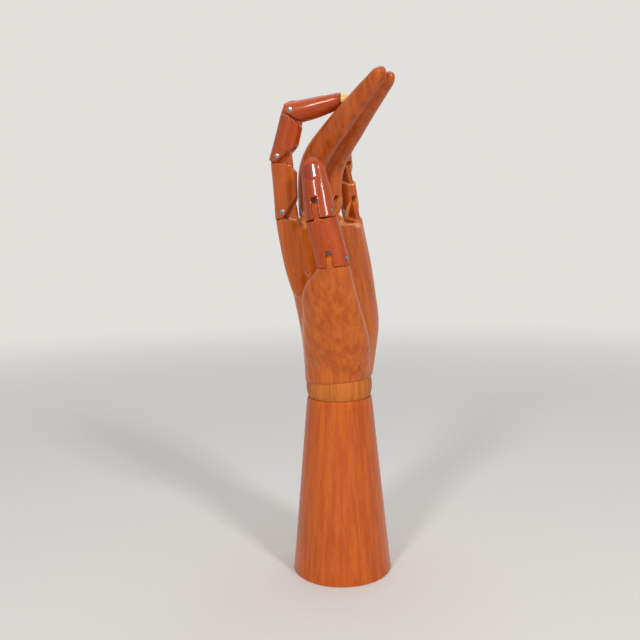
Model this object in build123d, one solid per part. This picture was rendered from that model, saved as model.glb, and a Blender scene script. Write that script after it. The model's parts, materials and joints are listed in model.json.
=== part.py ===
"""Jointed wooden hand on a turned stand: a left hand, its palm facing the front (-Y), fingers up (+Z).

The origin is the middle of the stand's foot. Every piece is a solid of its own, placed as it stands in
the resting pose: the index finger bent over the back of the joined middle and ring fingers.
"""

from build123d import *
from math import atan, cos, degrees, radians, sin, sqrt, tan
import os

os.makedirs("parts", exist_ok=True)

# General sizes
overrun = 20.0
running_clearance = 0.05
seat_clearance = 0.2

# Stand
foot_radius = 31.0
stand_height = 110.8
stand_top_radius = 20.3
stand_edge = 0.8
foot_edge = 0.5
stand_bore_radius = 7.5
stand_well_radius = 12.0
stand_well_depth = 62.0

# Wrist ball and its cups
ball_radius = 20.5
stand_rim_wall = 1.2
ball_bore_radius = 7.0
ball_flare_radius = 10.0
ball_flare_depth = 9.0
palm_rim_rise = 4.0
palm_rim_radius = 20.95
palm_bore_radius = 7.5
palm_bore_depth = 52.0

# Wrist spring, its two pins and their seats
wire_radius = 0.8
coil_radius = 4.2
coil_turns = 13
coil_share = 0.62
hook_ring_radius = 3.0
spring_pin_radius = 1.6
palm_pin_height = 41.0
palm_pin_front = 11.5
palm_pin_back = 13.0

# Hinge pins, tongues and knuckles
pin_radius = 1.6
pin_recess = 0.7
pin_rise = 3.6
tongue_thickness = 3.5
slot_side_clearance = 0.15
tongue_top = 6.0
tongue_palm_reach = 7.2
tongue_back_reach = 7.4
tongue_corner = 3.6
tongue_gap = 2.3
thumb_tongue_top = 3.3
thumb_tongue_gap = 1.8
tongue_inset = 0.35
tongue_root = 0.8
tongue_back_round = 5.6
thumb_back_round = 7.4
knuckle_break = 6.5
knuckle_edge_slope = 50.0

# Lean of the hand on the ball, about the line that runs away from the thumb side
hand_lean = 3.8
lean_axis_turn = 50.0

# Index finger
index_root = (-30.6, -0.6, 107.9)
index_turn = 35.0
index_leans = (-0.6, 22.2, 86.5)
index_lengths = (31.8, 26.8, 33.5)
index_width = 13.2
index_depth = 15.0
index_back_slope = 6.4
index_root_lean = -4.2
index_seam_gap = 0.06

# Middle and ring fingers, carved in one
pair_root = (-5.3, -2.5, 108.5)
pair_lean = 4.0
pair_splay = -1.2
pair_reach = 104.0
pair_lobe_width = 15.8
pair_lobe_depth = 16.0
pair_lobe_offset = 7.4
ring_shorter = 2.5

# Little finger
little_root = (19.2, -2.2, 107.4)
little_turn = -5.0
little_splay = -7.0
little_leans = (-3.0, 12.0, 30.0)
little_lengths = (23.0, 20.0, 22.0)
little_width = 11.2
little_depth = 13.2

# Thumb
thumb_root = (-29.6, -37.7, 78.2)
thumb_turn = 120.0
thumb_splay = 1.0
thumb_skew = 9.3
thumb_settle = 3.6
thumb_leans = (-2.0, 6.0)
thumb_lengths = (26.4, 31.6)
thumb_width = 18.4
thumb_depth = 16.0

# Openings of the hinges: slope of the lower piece and chamfer of the upper piece, in degrees
root_slopes = (25.0, 55.0)
middle_slopes = (25.0, 57.0)
tip_slopes = (18.0, 48.5)
thumb_slopes = (12.0, 48.0)
middle_corner = 5.9
tip_corner = 5.5

# Nails
nail_width_share = 0.62
nail_length_share = 0.36
nail_depth = 0.45
nail_lift_share = 0.93
nail_rise = 2.0

# Palm block, as shares of its length, half width and half depth
palm_length = 99.0
palm_half_width = 29.0
palm_half_depth = 14.6
palm_shares = (
    # height, middle X, middle Y, half width, half depth, squareness
    (0.12, 0.03, -0.07, 0.765, 1.41, 2.1),
    (0.36, 0.07, -0.24, 0.93, 1.24, 2.3),
    (0.56, 0.03, -0.20, 0.98, 1.12, 2.5),
    (0.76, -0.03, -0.15, 1.0, 1.02, 2.8),
    (0.92, -0.115, -0.12, 0.98, 0.96, 3.0),
    (1.0, -0.14, -0.11, 0.95, 0.92, 3.0),
)
palm_section_points = 24

# Roots of the fingers in the palm, as shares of a reach down from the hinge and of the finger's size
root_reach = 46.0
root_shares = (
    # way down, width, depth
    (0.0, 1.0, 1.0),
    (0.3, 1.04, 1.02),
    (0.62, 0.98, 0.95),
    (1.0, 0.7, 0.6),
)

# Ball of the thumb, as shares of the way from the wrist to the thumb's root and of the thumb's size
thenar_start = (-3.0, -4.0, 7.0)
thenar_shares = (
    # way, sideways shift, width, depth
    (0.0, 0.0, 2.02, 1.76),
    (0.3, 0.03, 2.17, 1.74),
    (0.6, 0.13, 1.88, 1.44),
    (0.8, 0.22, 1.70, 1.25),
    (0.9, 0.17, 1.44, 1.12),
    (1.0, 0.0, 1.0, 1.0),
)

# Way along a bone, then shares of its finger's width, its depth, and the depth for the hinge's place
proximal_shares = ((0.0, 1.0, 0.95, 0.055), (0.5, 0.97, 0.95, 0.09), (1.0, 1.02, 1.03, 0.14))
middle_shares = ((0.0, 1.02, 1.03, 0.14), (0.5, 0.97, 0.97, 0.10), (1.0, 0.97, 0.94, 0.06))
distal_shares = ((0.0, 0.97, 0.87, 0.07), (0.55, 0.93, 0.79, 0.055), (1.0, 0.83, 0.63, -0.015))
thumb_proximal_shares = ((0.0, 1.04, 1.0, 0.07), (0.5, 1.0, 0.96, 0.07), (1.0, 0.97, 0.96, 0.08))
thumb_distal_shares = ((0.0, 0.97, 0.96, 0.08), (0.5, 0.88, 0.86, 0.08), (1.0, 0.76, 0.66, 0.05))
tip_round_share = 0.24
pair_back_share = 0.05
pair_shares = (
    # way along the finger, lean share of the bend, width, depth
    (0.0, 0.0, 1.0, 1.0),
    (0.10, 0.0, 0.99, 0.98),
    (0.19, 0.12, 0.98, 0.98),
    (0.27, 0.42, 0.97, 1.01),
    (0.35, 0.80, 0.94, 1.01),
    (0.45, 0.98, 0.88, 0.96),
    (0.58, 0.98, 0.80, 0.87),
    (0.70, 1.0, 0.71, 0.76),
    (0.82, 1.03, 0.62, 0.66),
    (0.92, 1.03, 0.54, 0.56),
)
pair_bend = 54.0

ball_height = stand_height + sqrt(ball_radius**2 - (stand_top_radius - stand_rim_wall) ** 2)
wrist = Location((0, 0, ball_height))
lean_axis = Axis((0, 0, ball_height), (cos(radians(lean_axis_turn)), sin(radians(lean_axis_turn)), 0))


def hand(piece):
    """Place a piece of the hand, made about the ball's middle, on the ball with the hand's lean."""
    return (wrist * piece).rotate(lean_axis, -hand_lean)


def frame(root, turn, splay, lean):
    """The place of a bone: its hinge along X, its back towards +Y, its length along Z."""
    return Location(root) * Rotation(0, 0, turn) * Rotation(0, splay, 0) * Rotation(lean, 0, 0)


def oval(half_width, half_depth, height, back=0):
    """An oval cross-section at a height, its middle off the hinge line towards the palm side."""
    return Plane(origin=(0, -back, height)) * Ellipse(half_width, half_depth)


def profile_across(points, thickness):
    """Extrude an outline drawn in Y and Z evenly both ways along X."""
    outline = make_face(Polyline(*[(0, y, z) for y, z in points], close=True))
    return extrude(outline, amount=thickness / 2, dir=(1, 0, 0), both=True)


def pin_hole(radius, place=(0, 0, 0), length=4 * overrun):
    """A round bar along X."""
    return Location(place) * Rotation(0, 90, 0) * Cylinder(radius, length)


def upper_end(length, skew=0.0, settle=0.0):
    """The next hinge of a bone; skew tips the bone sideways, settle turns the next hinge part of it back."""
    seam = Location((0, 0, -pin_rise)) * Rotation(0, skew, 0) * Location((0, 0, length))
    return seam * Rotation(0, -settle, 0) * Location((0, 0, pin_rise))


def open_lower_end(body, chamfer, offsets=(0,), corner=0.0, slot_top=tongue_top + tongue_gap):
    """Cut the slots, the palm side chamfer, the pin hole and the back corner of a hinge at the origin."""
    reach = 2 * overrun
    if corner:
        block = Box(4 * overrun, reach, reach, align=(Align.CENTER, Align.MIN, Align.MAX))
        body -= block - pin_hole(corner)
    wedge = ((0, -pin_rise), (-reach, -pin_rise + reach * tan(radians(chamfer))), (-reach, -reach), (0, -reach))
    body -= profile_across(wedge, 4 * overrun)
    slot_height = slot_top + pin_rise + overrun
    slot_width = tongue_thickness + 2 * slot_side_clearance
    for offset in offsets:
        slot = Box(slot_width, 4 * overrun, slot_height, align=(Align.CENTER, Align.CENTER, Align.MAX))
        body -= Location((offset, 0, slot_top)) * slot
    return body - pin_hole(pin_radius)


def knuckle_cut(slope, back_slope=0.0):
    """The block above the knuckle of a lower piece, with the hinge at the origin."""
    reach = 2 * overrun
    first = (-knuckle_break, -pin_rise - knuckle_break * tan(radians(slope)))
    last_drop = (reach - knuckle_break) * tan(radians(knuckle_edge_slope))
    points = (
        (reach, -pin_rise - reach * tan(radians(back_slope))),
        (0, -pin_rise),
        first,
        (-reach, first[1] - last_drop),
        (-reach, reach),
        (reach, reach),
    )
    return profile_across(points, 4 * overrun)


def tongue(half_width, half_depth, back, slope, back_round, offset=0, top=tongue_top):
    """The tongue of a lower piece about the hinge at the origin, inside the finger's outline."""
    middle = (tongue_back_reach - tongue_palm_reach) / 2
    reach = tongue_back_reach + tongue_palm_reach
    root_height = 3 * pin_rise
    height = top + root_height + tongue_corner
    dome = Plane.YZ * Location((middle, top - height / 2)) * RectangleRounded(reach, height, tongue_corner)
    blade = extrude(dome, amount=tongue_thickness / 2, both=True)
    skin = Ellipse(half_width - tongue_inset, half_depth - tongue_inset)
    blade &= Location((0, -back, -root_height)) * extrude(skin, amount=root_height + overrun)
    foot = -pin_rise - tongue_root
    fall = 2 * overrun * tan(radians(slope)) + 2 * tongue_root
    far = 2 * overrun
    above = ((far, foot), (0, foot), (-far, foot - fall), (-far, overrun), (far, overrun))
    blade &= profile_across(above, far)
    corner = Box(overrun, 2 * overrun, overrun, align=(Align.CENTER, Align.MIN, Align.MIN))
    blade -= corner - pin_hole(back_round)
    blade -= pin_hole(pin_radius + running_clearance)
    return Location((offset, 0, 0)) * blade


def skin_sections(shares, length, width, depth, skew=0.0, settle=0.0):
    """Oval sections along a bone, from the seam under its hinge on."""
    sections = []
    for way, width_share, depth_share, back_share in shares:
        turn_back = skew + way * (settle - skew)
        place = Location((0, 0, -pin_rise)) * Rotation(0, skew, 0) * Location((0, 0, way * length))
        place *= Rotation(0, -turn_back, 0)
        sections.append(place * oval(width_share * width / 2, depth_share * depth / 2, 0, back_share * depth))
    return sections


def bone(shares, length, width, depth, chamfer, slope, corner=0.0):
    """A finger bone with a hinge at each end: the chamfer is below, the slope of its knuckle above."""
    body = loft(skin_sections(shares, length, width, depth))
    body = open_lower_end(body, chamfer, corner=corner)
    top = upper_end(length)
    body -= top * knuckle_cut(slope)
    end_width, end_depth, end_back = shares[-1][1:]
    half_sizes = (end_width * width / 2, end_depth * depth / 2)
    return body + top * tongue(*half_sizes, end_back * depth, slope, tongue_back_round)


def nail_cut(length, width, depth, shares):
    """The wood carved away from the back of a fingertip down to its nail."""
    middle, end = shares[-2:]
    round_length = tip_round_share * length
    nail_width = nail_width_share * end[1] * width
    nail_length = nail_length_share * length
    foot = length * nail_lift_share - nail_length
    outline = Location((0, foot + nail_length)) * SlotOverall(2 * nail_length, nail_width, rotation=90)
    back_plane = Plane(origin=(0, 0, 0), x_dir=(-1, 0, 0), z_dir=(0, 1, 0))
    block = extrude(back_plane * outline, amount=depth)
    levels = [(depth_share / 2 - back_share) * depth for way, width_share, depth_share, back_share in (middle, end)]
    fall = degrees(atan((levels[0] - levels[1]) / ((end[0] - middle[0]) * (length - round_length))))
    crown_radius = end[1] * width
    crown = Location((0, -crown_radius - nail_depth, 0)) * Cylinder(crown_radius, 4 * length)
    crown = Location((0, (levels[0] + levels[1]) / 2, foot)) * Rotation(fall - nail_rise, 0, 0) * crown
    return block - crown


def round_end(half_width, half_depth, reach):
    """A rounded end, half as wide and deep as given and reaching up from the origin."""
    ball = Rotation(0, 0, 45) * Sphere(reach)
    return scale(ball, by=(half_width / reach, half_depth / reach, 1))


def fingertip(shares, length, width, depth, chamfer, corner=0.0):
    """The last bone of a finger, with its rounded end and carved nail."""
    round_length = tip_round_share * length
    straight = length - round_length
    body = loft(skin_sections(shares, straight + pin_rise, width, depth))
    end_width, end_depth, end_back = shares[-1][1:]
    end = round_end(end_width * width / 2, end_depth * depth / 2, round_length)
    body += Location((0, -end_back * depth, straight)) * end
    body -= nail_cut(length, width, depth, shares)
    return open_lower_end(body, chamfer, corner=corner)


def hinge_pin(shares, width, depth):
    """The steel pin of a hinge at the origin, a little short of the finger's sides."""
    end_width, end_depth, end_back = shares[0][1:]
    half = end_width * width / 2 * sqrt(1 - (2 * end_back / end_depth) ** 2) - pin_recess
    return pin_hole(pin_radius, length=2 * half)


def chain(root, turn, splay, leans, lengths, skew=0.0, settle=0.0):
    """The places of a finger's bones, from the root outwards."""
    places = []
    place = frame(root, turn, splay, 0)
    for lean, length in zip(leans, lengths):
        here = place * Rotation(lean, 0, 0)
        places.append(here)
        place = here * upper_end(length, skew, settle) * Rotation(-lean, 0, 0)
    return places


def save(name, piece):
    """Write one piece to its own file."""
    piece.label = name
    export_step(piece, f"parts/{name}.step")


# Stand: a turned cone with a cup for the ball, a bore for the spring and a well for its lower pin
cone = loft([Circle(foot_radius), Plane(origin=(0, 0, stand_height)) * Circle(stand_top_radius)])
cone = chamfer(cone.edges().group_by(Axis.Z)[0], foot_edge)
cone = fillet(cone.edges().group_by(Axis.Z)[-1], stand_edge)
cone -= wrist * Sphere(ball_radius + seat_clearance)
cone -= Cylinder(stand_bore_radius, 2 * stand_height, align=(Align.CENTER, Align.CENTER, Align.MIN))
cone -= Cylinder(stand_well_radius, stand_well_depth, align=(Align.CENTER, Align.CENTER, Align.MIN))
base_pin_height = stand_well_depth - spring_pin_radius
base_pin_length = 2 * stand_well_radius - 2 * seat_clearance
base_pin = Location((0, 0, stand_well_depth)) * pin_hole(spring_pin_radius, length=base_pin_length)
cone -= base_pin
save("base", cone)
save("base_spring_pin", base_pin)

# Wrist ball with a bore that flares at both ends
ball = Sphere(ball_radius)
ball -= Cylinder(ball_bore_radius, 4 * ball_radius)
for side in (0, 180):
    flare = Cone(ball_bore_radius, ball_flare_radius + (ball_flare_radius - ball_bore_radius), 2 * ball_flare_depth)
    ball -= Rotation(side, 0, 0) * Location((0, 0, ball_radius)) * flare
save("wrist_ball", wrist * ball)

# Spring: a coil with a ring at each end round its pin
lean_line = Axis((0, 0, 0), (cos(radians(lean_axis_turn)), sin(radians(lean_axis_turn)), 0))
lower_pin = stand_well_depth - ball_height
upper_pin = Vector(0, 0, palm_pin_height).rotate(lean_line, -hand_lean)
spring_line = upper_pin - Vector(0, 0, lower_pin)
spring_length = spring_line.length
spring_lean = degrees(atan(sqrt(upper_pin.X**2 + upper_pin.Y**2) / spring_line.Z))
spring_middle = lower_pin + spring_length / 2
coil_height = coil_share * spring_length
coil_start = spring_middle - coil_height / 2
helix = Helix(pitch=coil_height / coil_turns, height=coil_height, radius=coil_radius)
wire_plane = Plane(origin=helix @ 0, z_dir=helix % 0)
spring = Location((0, 0, coil_start)) * sweep(wire_plane * Circle(wire_radius), path=helix)
ring_lift = hook_ring_radius - wire_radius - spring_pin_radius - running_clearance
ring_turns = (Rotation(0, 90, 0), Rotation(90, 0, 0))
for pin_place, toward, ring_turn in zip((lower_pin, lower_pin + spring_length), (1, -1), ring_turns):
    ring_middle = pin_place + toward * ring_lift
    coil_end = spring_middle - toward * coil_height / 2
    leg_start = ring_middle + toward * hook_ring_radius
    points = ((0, 0, leg_start), (0, 0, coil_end - toward * 2 * wire_radius), (coil_radius, 0, coil_end))
    leg_path = Polyline(*points)
    leg_plane = Plane(origin=leg_path @ 0, z_dir=leg_path % 0)
    ring = Location((0, 0, ring_middle)) * ring_turn * Torus(hook_ring_radius, wire_radius)
    spring += sweep(leg_plane * Circle(wire_radius), path=leg_path, transition=Transition.ROUND)
    spring += ring
spring_foot = Axis((0, 0, lower_pin), lean_line.direction)
save("wrist_spring", wrist * spring.rotate(spring_foot, -spring_lean))


def palm_section(height, middle_x, middle_y, half_width, half_depth, squareness):
    """A rounded square cross-section of the palm."""
    points = []
    for step in range(palm_section_points):
        turn = radians(360 * step / palm_section_points)
        x = abs(cos(turn)) ** (2 / squareness) * half_width
        y = abs(sin(turn)) ** (2 / squareness) * half_depth
        points.append((middle_x + (x if cos(turn) > 0 else -x), middle_y + (y if sin(turn) > 0 else -y)))
    return Plane(origin=(0, 0, height)) * make_face(Spline(*points, periodic=True))


# Palm: the block, the ball of the thumb, and a short root for each finger
sections = [palm_section(palm_rim_rise, 0, 0, palm_rim_radius, palm_rim_radius, 2)]
for way, middle_x, middle_y, half_width, half_depth, squareness in palm_shares:
    sections.append(
        palm_section(
            way * palm_length,
            middle_x * palm_half_width,
            middle_y * palm_half_depth,
            half_width * palm_half_width,
            half_depth * palm_half_depth,
            squareness,
        )
    )
palm = loft(sections)

thumb_places = chain(
    thumb_root,
    thumb_turn,
    thumb_splay,
    thumb_leans,
    thumb_lengths,
    thumb_skew,
    thumb_settle,
)
thumb_base = thumb_places[0]
thumb_start = thumb_proximal_shares[0]
thumb_back = thumb_start[3] * thumb_depth
thenar_end = (thumb_base * Location((0, -thumb_back, -pin_rise))).position
thenar_way = thenar_end - Vector(*thenar_start)
thenar_sections = []
for way, shift, width_share, depth_share in thenar_shares:
    place = Location(Vector(*thenar_start) + thenar_way * way)
    place *= Rotation(0, 0, thumb_turn) * Rotation(0, way * thumb_splay, 0) * Rotation(way * thumb_leans[0], 0, 0)
    half_width = width_share * thumb_start[1] * thumb_width / 2
    half_depth = depth_share * thumb_start[2] * thumb_depth / 2
    thenar_sections.append(place * Location((shift * thumb_width, 0, 0)) * Ellipse(half_width, half_depth))
palm += loft(thenar_sections)
thumb_cut = Box(2 * thumb_width, 2 * thumb_depth, 2 * pin_rise)
palm -= thumb_base * (knuckle_cut(thumb_slopes[0]) & thumb_cut)
thumb_half_sizes = (thumb_start[1] * thumb_width / 2, thumb_start[2] * thumb_depth / 2)
thumb_tongue = tongue(*thumb_half_sizes, thumb_back, thumb_slopes[0], thumb_back_round, top=thumb_tongue_top)
palm += thumb_base * thumb_tongue


def finger_root(size, offsets, back_slope, seam_gap=0):
    """The root of one or more fingers in the palm, with the hinge at the origin."""
    width, depth, (end_width, end_depth, end_back) = size
    root = None
    for offset in offsets:
        sections = []
        for way, width_share, depth_share in root_shares:
            middle = (offset, -end_back * depth, -pin_rise - way * root_reach)
            section = Ellipse(width_share * end_width * width / 2, depth_share * end_depth * depth / 2)
            sections.append(Location(middle) * section)
        lobe = loft(sections)
        root = lobe if root is None else root + lobe
    root -= Location((0, 0, -seam_gap)) * knuckle_cut(root_slopes[0], back_slope)
    for offset in offsets:
        half_sizes = (end_width * width / 2, end_depth * depth / 2)
        root += tongue(*half_sizes, end_back * depth, root_slopes[0], tongue_back_round, offset)
    return root


pair_offsets = (-pair_lobe_offset, pair_lobe_offset)
index_size = (index_width, index_depth, proximal_shares[0][1:])
little_size = (little_width, little_depth, proximal_shares[0][1:])
pair_size = (pair_lobe_width, pair_lobe_depth, (pair_shares[0][2], pair_shares[0][3], pair_back_share))
index_in_palm = finger_root(index_size, (0,), index_back_slope, index_seam_gap)
palm += frame(index_root, index_turn, 0, index_root_lean) * index_in_palm
palm += frame(pair_root, 0, pair_splay, pair_lean) * finger_root(pair_size, pair_offsets, 0)
palm += frame(little_root, little_turn, little_splay, little_leans[0]) * finger_root(little_size, (0,), 0)
palm -= Sphere(ball_radius + seat_clearance)
palm -= Cylinder(palm_bore_radius, palm_bore_depth, align=(Align.CENTER, Align.CENTER, Align.MIN))
palm_pin_place = Location((0, -palm_pin_front, palm_pin_height)) * Rotation(-90, 0, 0)
pin_align = (Align.CENTER, Align.CENTER, Align.MIN)
palm_pin = palm_pin_place * Cylinder(spring_pin_radius, palm_pin_front + palm_pin_back, align=pin_align)
palm -= palm_pin_place * Cylinder(spring_pin_radius, palm_pin_front + 2 * overrun, align=pin_align)
save("palm", hand(palm))
save("palm_spring_pin", hand(palm_pin))


def finger(root, turn, splay, leans, lengths, width, depth):
    """The bones of a finger of three and their hinge pins, each in its place."""
    bones = (
        bone(proximal_shares, lengths[0], width, depth, root_slopes[1], middle_slopes[0]),
        bone(middle_shares, lengths[1], width, depth, middle_slopes[1], tip_slopes[0], middle_corner),
        fingertip(distal_shares, lengths[2], width, depth, tip_slopes[1], tip_corner),
    )
    places = chain(root, turn, splay, leans, lengths)
    tables = (proximal_shares, middle_shares, distal_shares)
    pins = [hinge_pin(shares, width, depth) for shares in tables]
    return [(hand(place * piece), hand(place * pin)) for place, piece, pin in zip(places, bones, pins)]


bone_names = ("proximal", "middle", "distal")
index = finger(index_root, index_turn, 0, index_leans, index_lengths, index_width, index_depth)
little = finger(little_root, little_turn, little_splay, little_leans, little_lengths, little_width, little_depth)
for finger_name, pieces in (("index", index), ("little", little)):
    for bone_name, (piece, pin) in zip(bone_names, pieces):
        save(f"{finger_name}_{bone_name}", piece)
        save(f"{finger_name}_{bone_name}_pin", pin)

# Thumb
thumb_slope, thumb_chamfer = thumb_slopes
thumb_size = (thumb_width, thumb_depth)
thumb_lean_over = (thumb_skew, thumb_settle)
thumb_proximal = loft(skin_sections(thumb_proximal_shares, thumb_lengths[0], *thumb_size, *thumb_lean_over))
thumb_slot_top = thumb_tongue_top + thumb_tongue_gap
thumb_proximal = open_lower_end(thumb_proximal, thumb_chamfer, slot_top=thumb_slot_top)
thumb_top = upper_end(thumb_lengths[0], *thumb_lean_over)
thumb_proximal -= thumb_top * knuckle_cut(thumb_slope)
thumb_end = thumb_proximal_shares[-1]
thumb_half_sizes = (thumb_end[1] * thumb_width / 2, thumb_end[2] * thumb_depth / 2)
thumb_blade = tongue(*thumb_half_sizes, thumb_end[3] * thumb_depth, thumb_slope, thumb_back_round)
thumb_proximal += thumb_top * thumb_blade
thumb_distal = fingertip(thumb_distal_shares, thumb_lengths[1], *thumb_size, thumb_chamfer)
save("thumb_proximal", hand(thumb_places[0] * thumb_proximal))
save("thumb_proximal_pin", hand(thumb_places[0] * hinge_pin(thumb_proximal_shares, *thumb_size)))
save("thumb_distal", hand(thumb_places[1] * thumb_distal))
save("thumb_distal_pin", hand(thumb_places[1] * hinge_pin(thumb_distal_shares, *thumb_size)))


def pair_lobe(side, reach):
    """One of the two joined fingers: a bent, tapering limb with a rounded end."""
    depth = pair_lobe_depth
    stations = []
    place = Location((0, -pair_back_share * depth, -pin_rise))
    last_way = 0
    for way, bend, width_share, depth_share in pair_shares:
        half = Location((0, 0, (way - last_way) * reach / 2))
        here = place * half
        here = Location(here.position) * Rotation(bend * pair_bend, 0, 0) * half
        stations.append((here, width_share, depth_share))
        place = here
        last_way = way
    faces = []
    for here, width_share, depth_share in stations:
        section = Ellipse(width_share * pair_lobe_width / 2, depth_share * depth / 2)
        faces.append(here * Location((side * pair_lobe_offset * width_share, 0, 0)) * section)
    lobe = loft(faces)
    here, width_share, depth_share = stations[-1]
    tip_length = (1 - last_way) * reach
    end = round_end(width_share * pair_lobe_width / 2, depth_share * depth / 2, tip_length)
    return lobe + here * Location((side * pair_lobe_offset * width_share, 0, 0)) * end


# Middle and ring fingers in one piece
pair = pair_lobe(-1, pair_reach) + pair_lobe(1, pair_reach - ring_shorter)
pair = open_lower_end(pair, root_slopes[1], pair_offsets)
pair_place = frame(pair_root, 0, pair_splay, pair_lean)
pair_half = pair_lobe_offset + pair_lobe_width / 2 - pin_recess
save("middle_ring_pair", hand(pair_place * pair))
save("middle_ring_pair_pin", hand(pair_place * pin_hole(pin_radius, length=2 * pair_half)))
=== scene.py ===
"""Looks of a jointed wooden hand on a turned stand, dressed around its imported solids.

Each wooden piece is modelled about its own hinge in millimetres, with the hinge along X, its back towards
+Y and its length along Z, and is then set into its place in metres.
"""

import json
import logging
import math
from collections.abc import Callable, Iterable, Sequence
from dataclasses import dataclass
from enum import Enum

import bmesh
import bpy
from mathutils import Matrix, Vector
from mathutils.bvhtree import BVHTree

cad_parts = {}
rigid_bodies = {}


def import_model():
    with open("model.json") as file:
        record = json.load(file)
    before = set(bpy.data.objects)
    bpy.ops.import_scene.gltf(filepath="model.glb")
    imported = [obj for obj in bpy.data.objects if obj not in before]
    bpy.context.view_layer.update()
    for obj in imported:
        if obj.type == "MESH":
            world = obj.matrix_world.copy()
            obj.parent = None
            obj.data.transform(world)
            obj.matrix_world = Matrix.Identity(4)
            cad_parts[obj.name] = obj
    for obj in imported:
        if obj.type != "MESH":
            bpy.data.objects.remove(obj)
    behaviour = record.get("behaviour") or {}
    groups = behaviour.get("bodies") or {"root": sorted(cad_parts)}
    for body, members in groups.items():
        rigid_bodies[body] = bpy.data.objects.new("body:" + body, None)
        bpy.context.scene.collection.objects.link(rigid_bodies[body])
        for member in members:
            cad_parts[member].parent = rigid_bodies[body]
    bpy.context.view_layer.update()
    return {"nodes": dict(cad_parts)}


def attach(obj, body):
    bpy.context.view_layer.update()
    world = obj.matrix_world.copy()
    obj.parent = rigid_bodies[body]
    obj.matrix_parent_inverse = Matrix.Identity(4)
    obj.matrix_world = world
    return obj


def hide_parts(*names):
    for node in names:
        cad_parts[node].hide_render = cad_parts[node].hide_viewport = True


log = logging.getLogger("wooden_hand")

MM = 0.001

# Lengths and counts of the bench, in millimetres.
FAR = 80.0
WELD = 0.0005
ON_PLANE = 0.01
RING_SIDES = 64
BAR_SIDES = 48
CROWN_SIDES = 128
DOME_TOP = 0.995

# How often each pattern repeats per metre along X, Y and Z, and how a pattern's start is shared out.
STREAKS = (300, 300, 8)
FIBRES = (1500, 1500, 36)
FLECKS = (2300, 2300, 330)
STAIN = (30, 30, 14)
RUBBED = (420, 420, 300)
RAGGED = (160, 160, 160)
SPOTS = (900, 900, 900)
DRAWN = (120, 3000, 3000)
START_SHARES = (1.0, 1.7, 0.6)

Row = tuple[float, ...]
Ring = list[Vector]
Colour = tuple[int, int, int]


class Face(Enum):
    """Which of a wooden piece's finishes a face takes, in the order that dress() lays them."""

    OUTSIDE = 0
    BARE = 1


# ---------------------------------------------------------------------------------------------------------
# Finishes
# ---------------------------------------------------------------------------------------------------------


def linear(colour: Colour, alpha: float = 1.0) -> tuple[float, float, float, float]:
    """Turn a colour as seen on a screen into the linear values that shaders take.

    Args:
        colour: Red, green and blue, from 0 to 255.
        alpha: The fourth value.

    Returns:
        The linear colour with its fourth value.
    """
    shares = [c / 255 for c in colour]
    values = [s / 12.92 if s <= 0.04045 else ((s + 0.055) / 1.055) ** 2.4 for s in shares]
    return values[0], values[1], values[2], alpha


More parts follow.
